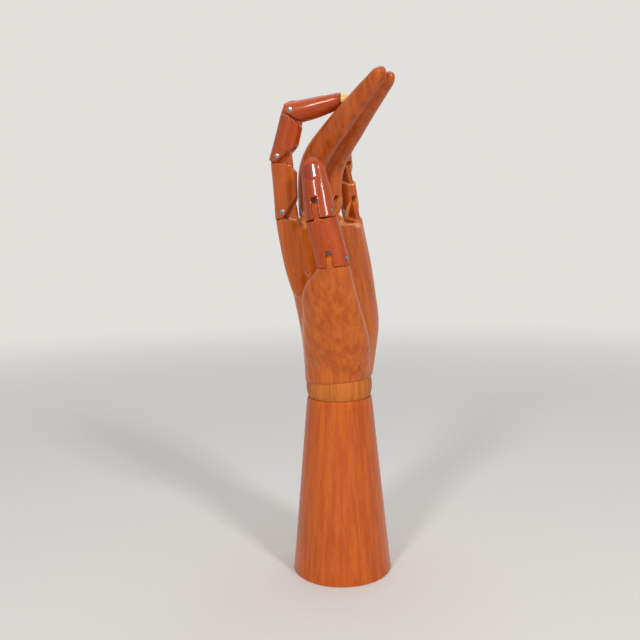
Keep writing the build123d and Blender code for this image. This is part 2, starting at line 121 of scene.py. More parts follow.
class Nodes:
    """A small helper that lays out the nodes of one material."""

    def __init__(self, name: str) -> None:
        """Start an empty material with a Principled shader.

        Args:
            name: The material's name.
        """
        self.material = bpy.data.materials.new(name)
        self.material.use_nodes = True
        self.tree = self.material.node_tree
        self.tree.nodes.clear()
        self.shader = self.tree.nodes.new("ShaderNodeBsdfPrincipled")
        output = self.tree.nodes.new("ShaderNodeOutputMaterial")
        self.link(self.shader.outputs["BSDF"], output.inputs["Surface"])

    def link(self, source: bpy.types.NodeSocket, target: bpy.types.NodeSocket) -> None:
        """Join two sockets."""
        self.tree.links.new(source, target)

    def add(self, kind: str, **values: object) -> bpy.types.Node:
        """Add a node and set its own properties.

        Args:
            kind: The node's type.
            values: Its properties by name.

        Returns:
            The new node.
        """
        node = self.tree.nodes.new(kind)
        for key, value in values.items():
            setattr(node, key, value)
        return node

    def own_place(self, place: Matrix) -> bpy.types.NodeSocket:
        """Object coordinates turned and centred on a piece's own place.

        Args:
            place: The piece's place, in metres.

        Returns:
            The socket with the coordinates, in metres about the piece's hinge.
        """
        inverse = place.inverted()
        mapping = self.add("ShaderNodeMapping", vector_type="POINT")
        mapping.inputs["Location"].default_value = inverse.to_translation()
        mapping.inputs["Rotation"].default_value = inverse.to_euler()
        self.link(self.add("ShaderNodeTexCoord").outputs["Object"], mapping.inputs["Vector"])
        return mapping.outputs["Vector"]

    def stretched(self, vector: bpy.types.NodeSocket, scale: Row, shift: float) -> bpy.types.NodeSocket:
        """Coordinates scaled along each axis and shifted.

        Args:
            vector: The coordinates.
            scale: Repeats per metre along X, Y and Z.
            shift: Where the pattern starts, a different number for each piece.

        Returns:
            The socket with the scaled coordinates.
        """
        mapping = self.add("ShaderNodeMapping", vector_type="POINT")
        mapping.inputs["Scale"].default_value = scale
        mapping.inputs["Location"].default_value = tuple(share * shift for share in START_SHARES)
        self.link(vector, mapping.inputs["Vector"])
        return mapping.outputs["Vector"]

    def noise(
        self, vector: bpy.types.NodeSocket, scale: Row, shift: float, detail: float = 3.0, warp: float = 0.0
    ) -> bpy.types.NodeSocket:
        """A noise pattern, stretched as its scale says.

        Args:
            vector: The coordinates about the piece's hinge.
            scale: Repeats per metre along X, Y and Z.
            shift: Where the pattern starts.
            detail: How many finer levels it has.
            warp: How much it is distorted.

        Returns:
            The socket with the pattern, from 0 to 1.
        """
        node = self.add("ShaderNodeTexNoise")
        node.inputs["Scale"].default_value = 1.0
        node.inputs["Detail"].default_value = detail
        node.inputs["Distortion"].default_value = warp
        self.link(self.stretched(vector, scale, shift), node.inputs["Vector"])
        return node.outputs["Fac"]

    def spread(
        self, value: bpy.types.NodeSocket, low: float, high: float, new: Row = (0, 1)
    ) -> bpy.types.NodeSocket:
        """Map a range of values onto another, held at its ends.

        Args:
            value: The value to map.
            low: The value that gives the first of the new ones.
            high: The value that gives the second.
            new: The two new values.

        Returns:
            The socket with the mapped value.
        """
        node = self.add("ShaderNodeMapRange", clamp=True)
        node.interpolation_type = "SMOOTHSTEP"
        for key, number in zip(("From Min", "From Max", "To Min", "To Max"), (low, high, *new)):
            node.inputs[key].default_value = number
        self.link(value, node.inputs["Value"])
        return node.outputs["Result"]

    def blend(
        self, share: bpy.types.NodeSocket, first: object, second: object, kind: str = "MIX"
    ) -> bpy.types.NodeSocket:
        """Mix two colours.

        Args:
            share: How much of the second colour shows.
            first: A colour or a socket.
            second: A colour or a socket.
            kind: How they mix.

        Returns:
            The socket with the mixed colour.
        """
        node = self.add("ShaderNodeMix", data_type="RGBA", blend_type=kind)
        self.link(share, node.inputs["Factor"])
        for socket, value in ((node.inputs[6], first), (node.inputs[7], second)):
            if isinstance(value, bpy.types.NodeSocket):
                self.link(value, socket)
            else:
                socket.default_value = value
        return node.outputs[2]

    def sum(
        self, first: bpy.types.NodeSocket, second: bpy.types.NodeSocket, share: float
    ) -> bpy.types.NodeSocket:
        """Add a share of a second value to a first one.

        Args:
            first: The first value.
            second: The second value.
            share: How much of the second value is added.

        Returns:
            The socket with the sum.
        """
        node = self.add("ShaderNodeMath", operation="MULTIPLY_ADD")
        self.link(second, node.inputs[0])
        node.inputs[1].default_value = share
        self.link(first, node.inputs[2])
        return node.outputs[0]

    def bump(self, height: bpy.types.NodeSocket, distance: float, strength: float) -> None:
        """Give the shader a bump of a height in metres.

        Args:
            height: The pattern.
            distance: The height of the pattern's whole range.
            strength: How strongly it shows.
        """
        node = self.add("ShaderNodeBump")
        node.inputs["Distance"].default_value = distance
        node.inputs["Strength"].default_value = strength
        self.link(height, node.inputs["Height"])
        self.link(node.outputs["Normal"], self.shader.inputs["Normal"])


@dataclass(frozen=True)
class Wood:
    """A beech surface: stained, grained, flecked and varnished.

    Attributes:
        name: The finish's name.
        light: The colour of the lighter streaks.
        dark: The colour of the darker streaks.
        deep: The colour of flecks, pores and the darkest stain.
        worn: The colour where the stain has rubbed away.
        roughness: The roughness under the varnish.
        coat: How much varnish there is.
        coat_roughness: How dull the varnish is.
        wear: How much of the surface has rubbed spots, from 0 to 1.
        blotch: How strongly the stain varies from place to place.
    """

    name: str
    light: Colour
    dark: Colour
    deep: Colour
    worn: Colour
    roughness: float = 0.36
    coat: float = 0.36
    coat_roughness: float = 0.06
    wear: float = 0.25
    blotch: float = 0.5

    def material(
        self, piece: str, place: Matrix, shift: float, bare_from: float | None = None
    ) -> bpy.types.Material:
        """Make the finish for one piece, its grain along the piece.

        Args:
            piece: The piece's name.
            place: The piece's place, in metres.
            shift: Where its grain starts.
            bare_from: The height above the hinge, in metres, from which the stain is missing.

        Returns:
            The material.
        """
        nodes = Nodes(f"{self.name}_{piece}")
        here = nodes.own_place(place)
        streaks = nodes.noise(here, STREAKS, shift, detail=4.0, warp=0.2)
        fibres = nodes.noise(here, FIBRES, shift + 3.1, detail=2.0)
        flecks = nodes.noise(here, FLECKS, shift + 7.7, detail=1.0)
        stain = nodes.noise(here, STAIN, shift + 5.3, detail=2.0, warp=0.5)
        rubbed = nodes.noise(here, RUBBED, shift + 9.9, detail=3.0)
        grain = nodes.sum(nodes.spread(streaks, 0.25, 0.75), nodes.spread(fibres, 0.2, 0.8), 0.5)
        grain = nodes.sum(grain, nodes.spread(stain, 0.25, 0.75), self.blotch)
        deep = linear(self.deep)
        colour = nodes.blend(nodes.spread(grain, 0.0, 1.7), linear(self.dark), linear(self.light))
        colour = nodes.blend(nodes.spread(flecks, 0.62, 0.78, (0, 0.42)), colour, deep)
        colour = nodes.blend(nodes.spread(stain, 0.56, 0.9, (0, 0.25)), colour, deep)
        worn = nodes.spread(rubbed, 0.74 - 0.08 * self.wear, 0.82, (0, 0.5 * self.wear))
        colour = nodes.blend(worn, colour, linear(self.worn))
        if bare_from is not None:
            split = nodes.add("ShaderNodeSeparateXYZ")
            nodes.link(here, split.inputs[0])
            edge = nodes.sum(split.outputs["Z"], nodes.noise(here, RAGGED, shift), 0.0022)
            ring = nodes.spread(edge, bare_from - 0.0012, bare_from, (0, 0.75))
            colour = nodes.blend(ring, colour, deep)
            end = nodes.spread(edge, bare_from, bare_from + 0.0007)
            colour = nodes.blend(end, colour, linear(BARE_END.light))
        nodes.link(colour, nodes.shader.inputs["Base Color"])
        rough = (self.roughness - 0.06, self.roughness + 0.10)
        rough = nodes.spread(nodes.sum(fibres, rubbed, 0.5), 0.4, 1.0, rough)
        nodes.link(rough, nodes.shader.inputs["Roughness"])
        nodes.shader.inputs["Specular IOR Level"].default_value = 0.2
        nodes.shader.inputs["Coat Weight"].default_value = self.coat
        nodes.shader.inputs["Coat Roughness"].default_value = self.coat_roughness
        nodes.bump(nodes.sum(fibres, flecks, -0.6), 0.00006, 0.5)
        return nodes.material


@dataclass(frozen=True)
class Steel:
    """Drawn steel wire with dull spots.

    Attributes:
        name: The finish's name.
        bright: The clean metal's colour.
        dull: The tarnished metal's colour.
    """

    name: str
    bright: Colour = (156, 150, 142)
    dull: Colour = (72, 62, 54)

    def material(self, piece: str, place: Matrix, shift: float) -> bpy.types.Material:
        """Make the finish for one piece.

        Args:
            piece: The piece's name.
            place: The piece's place, in metres.
            shift: Where its pattern starts.

        Returns:
            The material.
        """
        nodes = Nodes(f"{self.name}_{piece}")
        here = nodes.own_place(place)
        spots = nodes.noise(here, SPOTS, shift, detail=4.0)
        drawn = nodes.noise(here, DRAWN, shift + 2.0, detail=2.0)
        colour = nodes.blend(nodes.spread(spots, 0.4, 0.68), linear(self.bright), linear(self.dull))
        nodes.link(colour, nodes.shader.inputs["Base Color"])
        nodes.link(nodes.spread(spots, 0.35, 0.7, (0.22, 0.5)), nodes.shader.inputs["Roughness"])
        nodes.shader.inputs["Metallic"].default_value = 1.0
        nodes.bump(drawn, 0.00002, 0.4)
        return nodes.material


PALM_WOOD = Wood(
    "palm_wood", (208, 106, 24), (172, 70, 10), (98, 30, 4), (230, 154, 80),
    blotch=0.3,
)
PAIR_WOOD = Wood("pair_wood", (196, 92, 20), (154, 62, 9), (90, 26, 4), (226, 146, 72))
RED_WOOD = Wood(
    "red_wood", (184, 72, 10), (146, 48, 5), (76, 20, 3), (224, 136, 62),
    wear=0.5,
)
WARM_WOOD = Wood(
    "warm_wood", (200, 94, 20), (160, 64, 9), (86, 28, 4), (230, 150, 74),
    wear=0.45,
)
STAND_WOOD = Wood(
    "stand_wood", (206, 98, 20), (178, 72, 11), (112, 38, 6), (230, 154, 80),
    wear=0.3, blotch=0.3,
)
BALL_WOOD = Wood(
    "ball_wood", (206, 116, 42), (146, 72, 24), (80, 36, 14), (224, 160, 96),
    roughness=0.5, coat=0.15, coat_roughness=0.3, wear=0.8, blotch=0.7,
)
BARE_WOOD = Wood(
    "bare_wood", (236, 160, 90), (206, 118, 52), (126, 56, 20), (244, 206, 150),
    roughness=0.42, coat=0.35, coat_roughness=0.2, wear=0.3,
)
KNUCKLE_WOOD = Wood(
    "knuckle_wood", (206, 108, 42), (158, 66, 20), (84, 28, 8), (226, 150, 90),
    roughness=0.4, coat=0.4, coat_roughness=0.15, wear=0.3,
)
# The nail's carved faces are painted a darker red than the tip around them. This is painted shade that marks
# the nail's recess; that wood is the tip's own colour.
NAIL_PAINTED_SHADE = Wood(
    "nail_painted_shade", (164, 56, 14), (128, 36, 8), (80, 20, 4), (210, 120, 70),
    roughness=0.32, coat=0.6, coat_roughness=0.06, wear=0.2,
)
BARE_END = Wood("bare_end", (240, 192, 104), (222, 164, 92), (150, 84, 44), (250, 222, 170))
PIN_STEEL = Steel("pin_steel")


# ---------------------------------------------------------------------------------------------------------
# The bench: operators that shape one mesh
# ---------------------------------------------------------------------------------------------------------


def only(piece: bpy.types.Object) -> None:
    """Select one object alone and make it active."""
    bpy.ops.object.select_all(action="DESELECT")
    piece.select_set(True)
    bpy.context.view_layer.objects.active = piece


def made(add: Callable[..., object], **values: object) -> bpy.types.Object:
    """Add one of Blender's own shapes at the origin.

    Args:
        add: The operator that adds it.
        values: The shape's sizes by name.

    Returns:
        The new object.
    """
    bpy.ops.object.select_all(action="DESELECT")
    add(**values)
    return bpy.context.active_object


def pick(piece: bpy.types.Object, kind: str, test: Callable[[object], bool]) -> None:
    """Select, in edit mode, only the edges or faces that pass a test.

    Args:
        piece: The piece that is being edited.
        kind: EDGE or FACE.
        test: Says whether an edge or face is wanted.
    """
    bpy.ops.mesh.select_mode(type=kind)
    bpy.ops.mesh.select_all(action="DESELECT")
    edited = bmesh.from_edit_mesh(piece.data)
    for item in edited.edges if kind == "EDGE" else edited.faces:
        item.select_set(test(item))
    bmesh.update_edit_mesh(piece.data)


def closed(piece: bpy.types.Object) -> bpy.types.Object:
    """Turn the faces of the edited piece outwards and leave edit mode."""
    bpy.ops.mesh.select_all(action="SELECT")
    bpy.ops.mesh.normals_make_consistent(inside=False)
    bpy.ops.object.mode_set(mode="OBJECT")
    return piece


def dress(piece: bpy.types.Object, *finishes: bpy.types.Material) -> None:
    """Give a piece its finishes, all of its faces starting with the first."""
    piece.data.materials.clear()
    for finish in finishes:
        piece.data.materials.append(finish)


def smooth_rows(rows: Sequence[Row], steps: int) -> list[Row]:
    """Rows between the rows of a table, on one smooth curve through them.

    Args:
        rows: Rows that start with the way along the piece.
        steps: How many rows there are between one row and the next.

    Returns:
        The closer rows, with the first and last as they were.
    """

    def slope(index: int, column: int) -> float:
        """The slope of a column at a row."""
        low, high = max(index - 1, 0), min(index + 1, len(rows) - 1)
        return (rows[high][column] - rows[low][column]) / (rows[high][0] - rows[low][0])

    found = [tuple(rows[0])]
    for index in range(len(rows) - 1):
        first, last = rows[index], rows[index + 1]
        gap = last[0] - first[0]
        for step in range(1, steps + 1):
            t = step / steps
            row = [first[0] + t * gap]
            for column in range(1, len(first)):
                a, b = first[column], last[column]
                rise = (2 * t**3 - 3 * t**2 + 1) * a + (3 * t**2 - 2 * t**3) * b
                rise += (t**3 - 2 * t**2 + t) * gap * slope(index, column)
                rise += (t**3 - t**2) * gap * slope(index + 1, column)
                row.append(rise)
            found.append(tuple(row))
    return found


def oval(place: Matrix, half_width: float, half_depth: float, squareness: float = 2.0) -> Ring:
    """The points of an oval or rounded square section.

    Args:
        place: The section's place, its normal along the place's Z.
        half_width: Half its size along X.
        half_depth: Half its size along Y.
        squareness: 2 for an oval, more for squarer corners.

    Returns:
        The points, in order round the section.
    """
    points = []
    for side in range(RING_SIDES):
        turn = 2 * math.pi * side / RING_SIDES
        x = math.copysign(abs(math.cos(turn)) ** (2 / squareness), math.cos(turn))
        y = math.copysign(abs(math.sin(turn)) ** (2 / squareness), math.sin(turn))
        points.append(place @ Vector((x * half_width, y * half_depth, 0)))
    return points


def dome(place: Matrix, half_width: float, half_depth: float, reach: float, steps: int = 10) -> list[Ring]:
    """Sections that round off an end.

    Args:
        place: The place of the end's widest section.
        half_width: Half its width.
        half_depth: Half its depth.
        reach: How far the end reaches along Z.
        steps: How many sections there are.

    Returns:
        The sections, the last one very small.
    """
    rings = []
    for step in range(1, steps + 1):
        turn = math.pi / 2 * min(step / steps, DOME_TOP)
        here = place @ Matrix.Translation((0, 0, reach * math.sin(turn)))
        rings.append(oval(here, half_width * math.cos(turn), half_depth * math.cos(turn)))
    return rings


def limb(name: str, rings: Sequence[Ring]) -> bpy.types.Object:
    """Extrude a disc from section to section.

    Args:
        name: The new object's name.
        rings: The sections, each with the same number of points.

    Returns:
        The closed limb.
    """
    piece = made(bpy.ops.mesh.primitive_circle_add, vertices=len(rings[0]), radius=1, fill_type="NGON")
    piece.name = name
    mesh = piece.data
    for vertex, point in zip(mesh.vertices, rings[0]):
        vertex.co = point
    bpy.ops.object.mode_set(mode="EDIT")
    bpy.ops.mesh.select_all(action="SELECT")
    order = {tuple(point): side for side, point in enumerate(rings[0])}
    for ring in rings[1:]:
        bpy.ops.mesh.extrude_region_move()
        edited = bmesh.from_edit_mesh(mesh)
        for vertex in [v for v in edited.verts if v.select]:
            vertex.co = ring[order[tuple(vertex.co)]]
        bmesh.update_edit_mesh(mesh)
        order = {tuple(point): side for side, point in enumerate(ring)}
    return closed(piece)


def turned(name: str, profile: Sequence[tuple[float, float]], steps: int) -> bpy.types.Object:
    """Spin a closed outline round Z, as on a lathe.

    Args:
        name: The new object's name.
        profile: Radius and height of each point of the outline.
        steps: How many steps the full turn has.

    Returns:
        The turned piece.
    """
    piece = made(bpy.ops.mesh.primitive_circle_add, vertices=len(profile), radius=1, fill_type="NOTHING")
    piece.name = name
    for vertex, (radius, height) in zip(piece.data.vertices, profile):
        vertex.co = (radius, 0, height)
    bpy.ops.object.mode_set(mode="EDIT")
    bpy.ops.mesh.select_all(action="SELECT")
    full = {"steps": steps, "angle": 2 * math.pi, "use_auto_merge": True}
    bpy.ops.mesh.spin(center=(0, 0, 0), axis=(0, 0, 1), **full)
    bpy.ops.mesh.select_all(action="SELECT")
    bpy.ops.mesh.remove_doubles(threshold=WELD)
    return closed(piece)


def block(size: Row, middle: Row, turn: Matrix | None = None) -> bpy.types.Object:
    """A block to cut with.

    Args:
        size: Its size along X, Y and Z.
        middle: Its middle.
        turn: A place that it is then carried to.

    Returns:
        The block.
    """
    piece = made(bpy.ops.mesh.primitive_cube_add, size=1)
    piece.data.transform(Matrix.Translation(middle) @ Matrix.Diagonal((*size, 1)))
    if turn is not None:
        piece.data.transform(turn)
    return piece


def bar(radius: float, length: float, turn: Matrix | None = None) -> bpy.types.Object:
    """A round bar along X to cut with.

    Args:
        radius: Its radius.
        length: Its length.
        turn: A place that it is then carried to.

    Returns:
        The bar.
    """
    piece = made(bpy.ops.mesh.primitive_cylinder_add, vertices=BAR_SIDES, radius=radius, depth=length)
    piece.data.transform(Matrix.Rotation(math.pi / 2, 4, "Y"))
    if turn is not None:
        piece.data.transform(turn)
    return piece


def saw(piece: bpy.types.Object, point: Row, away: Row, place: Matrix | None = None) -> None:
    """Saw off what lies beyond a plane and close the face, which stays bare.

    Args:
        piece: The piece to saw.
        point: A point on the plane.
        away: The direction of the part that falls off.
        place: The place in which the plane is given.
    """
    point, away = Vector(point), Vector(away)
    if place is not None:
        point, away = place @ point, place.to_3x3() @ away
    only(piece)
    piece.active_material_index = Face.BARE.value
    bpy.ops.object.mode_set(mode="EDIT")
    bpy.ops.mesh.select_all(action="SELECT")
    bpy.ops.mesh.bisect(plane_co=point, plane_no=away, use_fill=True, clear_outer=True)
    away = away.normalized()
    pick(piece, "FACE", lambda face: all(abs((v.co - point).dot(away)) < ON_PLANE for v in face.verts))
    bpy.ops.object.material_slot_assign()
    bpy.ops.object.mode_set(mode="OBJECT")


def apply(piece: bpy.types.Object, kind: str, **values: object) -> None:
    """Add a modifier and apply it.

    Args:
        piece: The piece.
        kind: The modifier's type.
        values: Its properties by name.
    """
    only(piece)
    modifier = piece.modifiers.new("work", kind)
    for key, value in values.items():
        setattr(modifier, key, value)
    bpy.ops.object.modifier_apply(modifier=modifier.name)


def carve(
    piece: bpy.types.Object, cutters: Iterable[bpy.types.Object], bare: bpy.types.Material | None
) -> None:
    """Cut away all that the cutters fill.

    Args:
        piece: The piece to carve.
        cutters: Closed cutters, which are used up.
        bare: The finish of the carved faces.
    """
    group = bpy.data.collections.new("cutters")
    for cutter in cutters:
        for home in list(cutter.users_collection):
            home.objects.unlink(cutter)
        group.objects.link(cutter)
        if bare is not None:
            dress(cutter, bare)
    source = {"operand_type": "COLLECTION", "collection": group}
    apply(piece, "BOOLEAN", operation="DIFFERENCE", **source, solver="EXACT", material_mode="TRANSFER")
    for cutter in list(group.objects):
        bpy.data.objects.remove(cutter)
    bpy.data.collections.remove(group)


def joined(pieces: Sequence[bpy.types.Object]) -> bpy.types.Object:
    """Join pieces into the first of them.

    Args:
        pieces: The pieces.

    Returns:
        The first piece, which now holds all.
    """
    only(pieces[0])
    for piece in pieces[1:]:
        piece.select_set(True)
    if len(pieces) > 1:
        bpy.ops.object.join()
    return pieces[0]


@dataclass(frozen=True)
class Skin:
    """How finely a piece is sanded.

    Attributes:
        voxel: The size of the new faces, in millimetres.
        passes: How many times the skin is smoothed.
        heights: Where smoothing starts, is full, is still full and has ended, from below.
    """

    voxel: float
    passes: int
    heights: Row | None = None


BONE_SKIN = Skin(0.3, 2)
PAIR_BLANK = Skin(0.5, 14)
PAIR_SKIN = Skin(0.42, 3)
PALM_BLANK = Skin(0.8, 120, (9, 24, 84, 102))
PALM_SKIN = Skin(0.5, 3)


def sand(piece: bpy.types.Object, skin: Skin) -> None:
    """Give a piece one even skin with softened edges, and keep which faces are bare.

    Args:
        piece: The piece.
        skin: How finely it is sanded.
    """
    names = [slot.material.name if slot.material else "" for slot in piece.material_slots]
    kinds = [names[face.material_index] for face in piece.data.polygons]
    points = [vertex.co.copy() for vertex in piece.data.vertices]
    tree = BVHTree.FromPolygons(points, [tuple(face.vertices) for face in piece.data.polygons])
    materials = list(piece.data.materials)
    apply(piece, "REMESH", mode="VOXEL", voxel_size=skin.voxel, adaptivity=0.0, use_smooth_shade=True)
    group = ""
    if skin.heights:
        group = "soft"
        weights = piece.vertex_groups.new(name=group)
        start, full, last, end = skin.heights
        for vertex in piece.data.vertices:
            share = min((vertex.co.z - start) / (full - start), (end - vertex.co.z) / (end - last), 1.0)
            weights.add([vertex.index], max(share, 0.0), "REPLACE")
    apply(piece, "SMOOTH", factor=0.5, iterations=skin.passes, vertex_group=group)
    dress(piece, *materials)
    order = {material.name: index for index, material in enumerate(materials) if material}
    for face in piece.data.polygons:
        nearest = tree.find_nearest(face.center)[2]
        face.material_index = order.get(kinds[nearest], 0) if nearest is not None else 0
        face.use_smooth = True


def settle(
    piece: bpy.types.Object, place: Matrix, name: str, body: str, node: str, sharp: float = 0.0
) -> None:
    """Carry a finished piece from millimetres about its hinge to its place, and say what it is.

    Args:
        piece: The piece.
        place: Its place, in metres.
        name: Its name.
        body: The body that it moves with.
        node: The node that it stands for.
        sharp: The angle in degrees from which an edge stays sharp, or 0 where the shading is done.
    """
    if sharp:
        only(piece)
        bpy.ops.object.shade_smooth_by_angle(angle=math.radians(sharp))
    piece.data.transform(place @ Matrix.Scale(MM, 4))
    piece.data.update()
    piece.name = name
    piece.data.name = name
    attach(piece, body)
    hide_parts(node)
    log.info("%s: %d faces, rides on %s", name, len(piece.data.polygons), body)


# ---------------------------------------------------------------------------------------------------------
# Sizes that several pieces share
# ---------------------------------------------------------------------------------------------------------


@dataclass(frozen=True)
class Joinery:
    """Sizes of the hinges, in millimetres and degrees, the same for every finger.

    A slope pair is that of the lower piece's knuckle and that of the upper piece's foot.
    """

    pin_radius: float = 1.6
    pin_play: float = 0.05
    pin_recess: float = 0.7
    pin_rise: float = 3.6
    tongue: float = 3.5
    slot: float = 3.8
    tongue_top: float = 6.0
    tongue_gap: float = 2.3
    palm_reach: float = 7.2
    back_reach: float = 7.4
    tongue_corner: float = 3.6
    tongue_inset: float = 0.35
    tongue_root: float = 0.8
    seam: float = 0.12
    back_round: float = 5.6
    thumb_round: float = 7.4
    knuckle_break: float = 6.5
    edge_slope: float = 50.0
    foot_turns: tuple[int, ...] = (15, 30, 45, 60, 75)
    tongue_turns: tuple[int, ...] = (20, 35, 50, 65, 80)
    root_slopes: tuple[float, float] = (25.0, 55.0)
    middle_slopes: tuple[float, float] = (25.0, 57.0)
    tip_slopes: tuple[float, float] = (18.0, 48.5)
    thumb_slopes: tuple[float, float] = (12.0, 48.0)


@dataclass(frozen=True)
class Wrist:
    """Where the hand sits on the stand, in millimetres and degrees."""

    foot_radius: float = 30.94
    stand_height: float = 110.8
    top_radius: float = 20.3
    rim_wall: float = 1.2
    ball_radius: float = 20.5
    clearance: float = 0.2
    bore: float = 7.5
    well_radius: float = 12.0
    well_depth: float = 62.0
    lean: float = 3.8
    lean_turn: float = 50.0

    @property
    def ball_height(self) -> float:
        """The height of the ball's middle."""
        return self.stand_height + math.sqrt(self.ball_radius**2 - (self.top_radius - self.rim_wall) ** 2)

    @property
    def hand(self) -> Matrix:
        """The place of the hand's pieces, which are measured from the ball's middle."""
        turn = math.radians(self.lean_turn)
        axis = Vector((math.cos(turn), math.sin(turn), 0))
        return Matrix.Translation((0, 0, self.ball_height)) @ Matrix.Rotation(-math.radians(self.lean), 4, axis)


JOINERY = Joinery()
WRIST = Wrist()


def about(axis: str, degrees: float) -> Matrix:
    """A turn about an axis, in degrees."""
    return Matrix.Rotation(math.radians(degrees), 4, axis)


def metres(place: Matrix) -> Matrix:
    """A place given in millimetres, in metres."""
    found = place.copy()
    found.translation = place.translation * MM
    return found


def upper_end(length: float, skew: float = 0.0, settle_back: float = 0.0) -> Matrix:
    """The next hinge of a bone, seen from its own.

    Args:
        length: The bone's length.
        skew: How far the bone tips sideways.
        settle_back: How much of that the next hinge turns back.

    Returns:
        The next hinge's place.
    """
    seam = Matrix.Translation((0, 0, -JOINERY.pin_rise)) @ about("Y", skew) @ Matrix.Translation((0, 0, length))
    return seam @ about("Y", -settle_back) @ Matrix.Translation((0, 0, JOINERY.pin_rise))


def root_frame(root: Row, turn: float, splay: float, lean: float) -> Matrix:
    """The place of a finger's first hinge in the palm."""
    return Matrix.Translation(root) @ about("Z", turn) @ about("Y", splay) @ about("X", lean)


def knuckle_planes(slope: float, back_slope: float = 0.0) -> list[tuple[float, float, float]]:
    """The planes that shape a knuckle: its back, its palm side and its broken edge.

    Args:
        slope: The slope of its palm side.
        back_slope: The slope of its back side.

    Returns:
        Where each plane lies along Y and Z from the hinge, and its slope.
    """
    level = -JOINERY.pin_rise - JOINERY.seam
    break_drop = JOINERY.knuckle_break * math.tan(math.radians(slope))
    edge = (-JOINERY.knuckle_break, level - break_drop, JOINERY.edge_slope)
    return [(0, level, -back_slope), (0, level, slope), edge]


def round_back(piece: bpy.types.Object, radius: float, turns: Iterable[int], up: int) -> None:
    """Saw a rounded back corner as a run of flats.

    Args:
        piece: The piece.
        radius: The corner's radius about the hinge.
        turns: How far each flat is turned, in degrees.
        up: 1 for the upper corner, -1 for the lower one.
    """
    for degrees in turns:
        tilt = math.radians(degrees)
        away = (0, math.sin(tilt), up * math.cos(tilt))
        saw(piece, tuple(radius * a for a in away), away)


def chain(
    root: Row, turn: float, splay: float, leans: Row, lengths: Row, skew: float = 0.0, settle_back: float = 0.0
) -> list[Matrix]:
    """The places of a finger's bones, measured from the ball's middle.

    Args:
        root: The first hinge.
        turn: How far the finger is turned about Z.
        splay: How far it leans sideways.
        leans: How far each bone is bent.
        lengths: The bones' lengths.
        skew: How far a bone tips sideways.
        settle_back: How much of that the next hinge turns back.

    Returns:
        One place for each bone.
    """
    places = []
    place = root_frame(root, turn, splay, 0)
    for lean, length in zip(leans, lengths):
        here = place @ about("X", lean)
        places.append(here)
        place = here @ upper_end(length, skew, settle_back) @ about("X", -lean)
    return places


def open_foot(piece: bpy.types.Object, chamfer: float, corner: float) -> None:
    """Saw the chamfer and the rounded back corner of a bone's lower end.

    Args:
        piece: The bone.
        chamfer: The slope of its palm side.
        corner: The radius of its back corner, or 0.
    """
    turn = math.radians(chamfer)
    saw(piece, (0, 0, -JOINERY.pin_rise), (0, -math.sin(turn), -math.cos(turn)))
    if corner:
        round_back(piece, corner, JOINERY.foot_turns, -1)


def close_head(piece: bpy.types.Object, place: Matrix, slope: float) -> None:
    """Saw the knuckle of a lower piece.

    Args:
        piece: The piece.
        place: The place of the hinge above the knuckle.
        slope: The slope of its palm side.
    """
    for y, z, degrees in knuckle_planes(slope):
        tilt = math.radians(degrees)
        saw(piece, (0, y, z), (0, -math.sin(tilt), math.cos(tilt)), place)


def pin_hole() -> bpy.types.Object:
    """A cutter for a pin's hole."""
    return bar(JOINERY.pin_radius + JOINERY.pin_play, FAR)


def slot_cutters(offsets: Row = (0.0,), top: float | None = None) -> list[bpy.types.Object]:
    """Cutters for the slots and the pin hole of a bone's lower end.

    Args:
        offsets: Where the slots are along X.
        top: How far the slots reach above the hinge.

    Returns:
        The cutters.
    """
    top = JOINERY.tongue_top + JOINERY.tongue_gap if top is None else top
    depth = top + JOINERY.pin_rise + FAR / 4
    cutters = [block((JOINERY.slot, FAR, depth), (offset, 0, top - depth / 2)) for offset in offsets]
    return [*cutters, pin_hole()]


def tongue(
    place: Matrix, half_depth: float, back: float, back_round: float, slope: float, top: float | None = None
) -> bpy.types.Object:
    """The tongue on a lower piece, with its pin hole.

    Args:
        place: The place of the hinge.
        half_depth: Half the finger's depth there.
        back: How far the finger's middle lies to the palm side of the hinge.
        back_round: The radius of its back corner.
        slope: The slope of the knuckle's palm side.
        top: How far it reaches above the hinge.

    Returns:
        The tongue.
    """
    top = JOINERY.tongue_top if top is None else top
    behind = min(JOINERY.back_reach, half_depth - back - JOINERY.tongue_inset)
    front = min(JOINERY.palm_reach, half_depth + back - JOINERY.tongue_inset)
    foot = -JOINERY.pin_rise - JOINERY.tongue_root
    low = foot - 2 * JOINERY.pin_rise
    tilt = math.radians(slope)

    def top_corner(edge: bmesh.types.BMEdge) -> bool:
        """Whether an edge is a corner of the top, across the finger."""
        a, b = (vertex.co for vertex in edge.verts)
        return min(a.z, b.z) > top - ON_PLANE and abs(a.y - b.y) < ON_PLANE

    halves = []
    for side, under in ((1, (0, math.sin(tilt), -math.cos(tilt))), (-1, (0, 0, -1))):
        piece = block((JOINERY.tongue, front + behind, top - low), (0, (behind - front) / 2, (top + low) / 2))
        only(piece)
        bpy.ops.object.mode_set(mode="EDIT")
        pick(piece, "EDGE", top_corner)
        bpy.ops.mesh.bevel(offset=JOINERY.tongue_corner, segments=8, affect="EDGES")
        bpy.ops.object.mode_set(mode="OBJECT")
        round_back(piece, back_round, JOINERY.tongue_turns, 1)
        saw(piece, (0, side * JOINERY.tongue_inset, 0), (0, side, 0))
        saw(piece, (0, 0, foot), under)
        carve(piece, [pin_hole()], None)
        halves.append(piece)
    piece = joined(halves)
    piece.data.transform(place)
    return piece


# ---------------------------------------------------------------------------------------------------------
# Fingers
# ---------------------------------------------------------------------------------------------------------


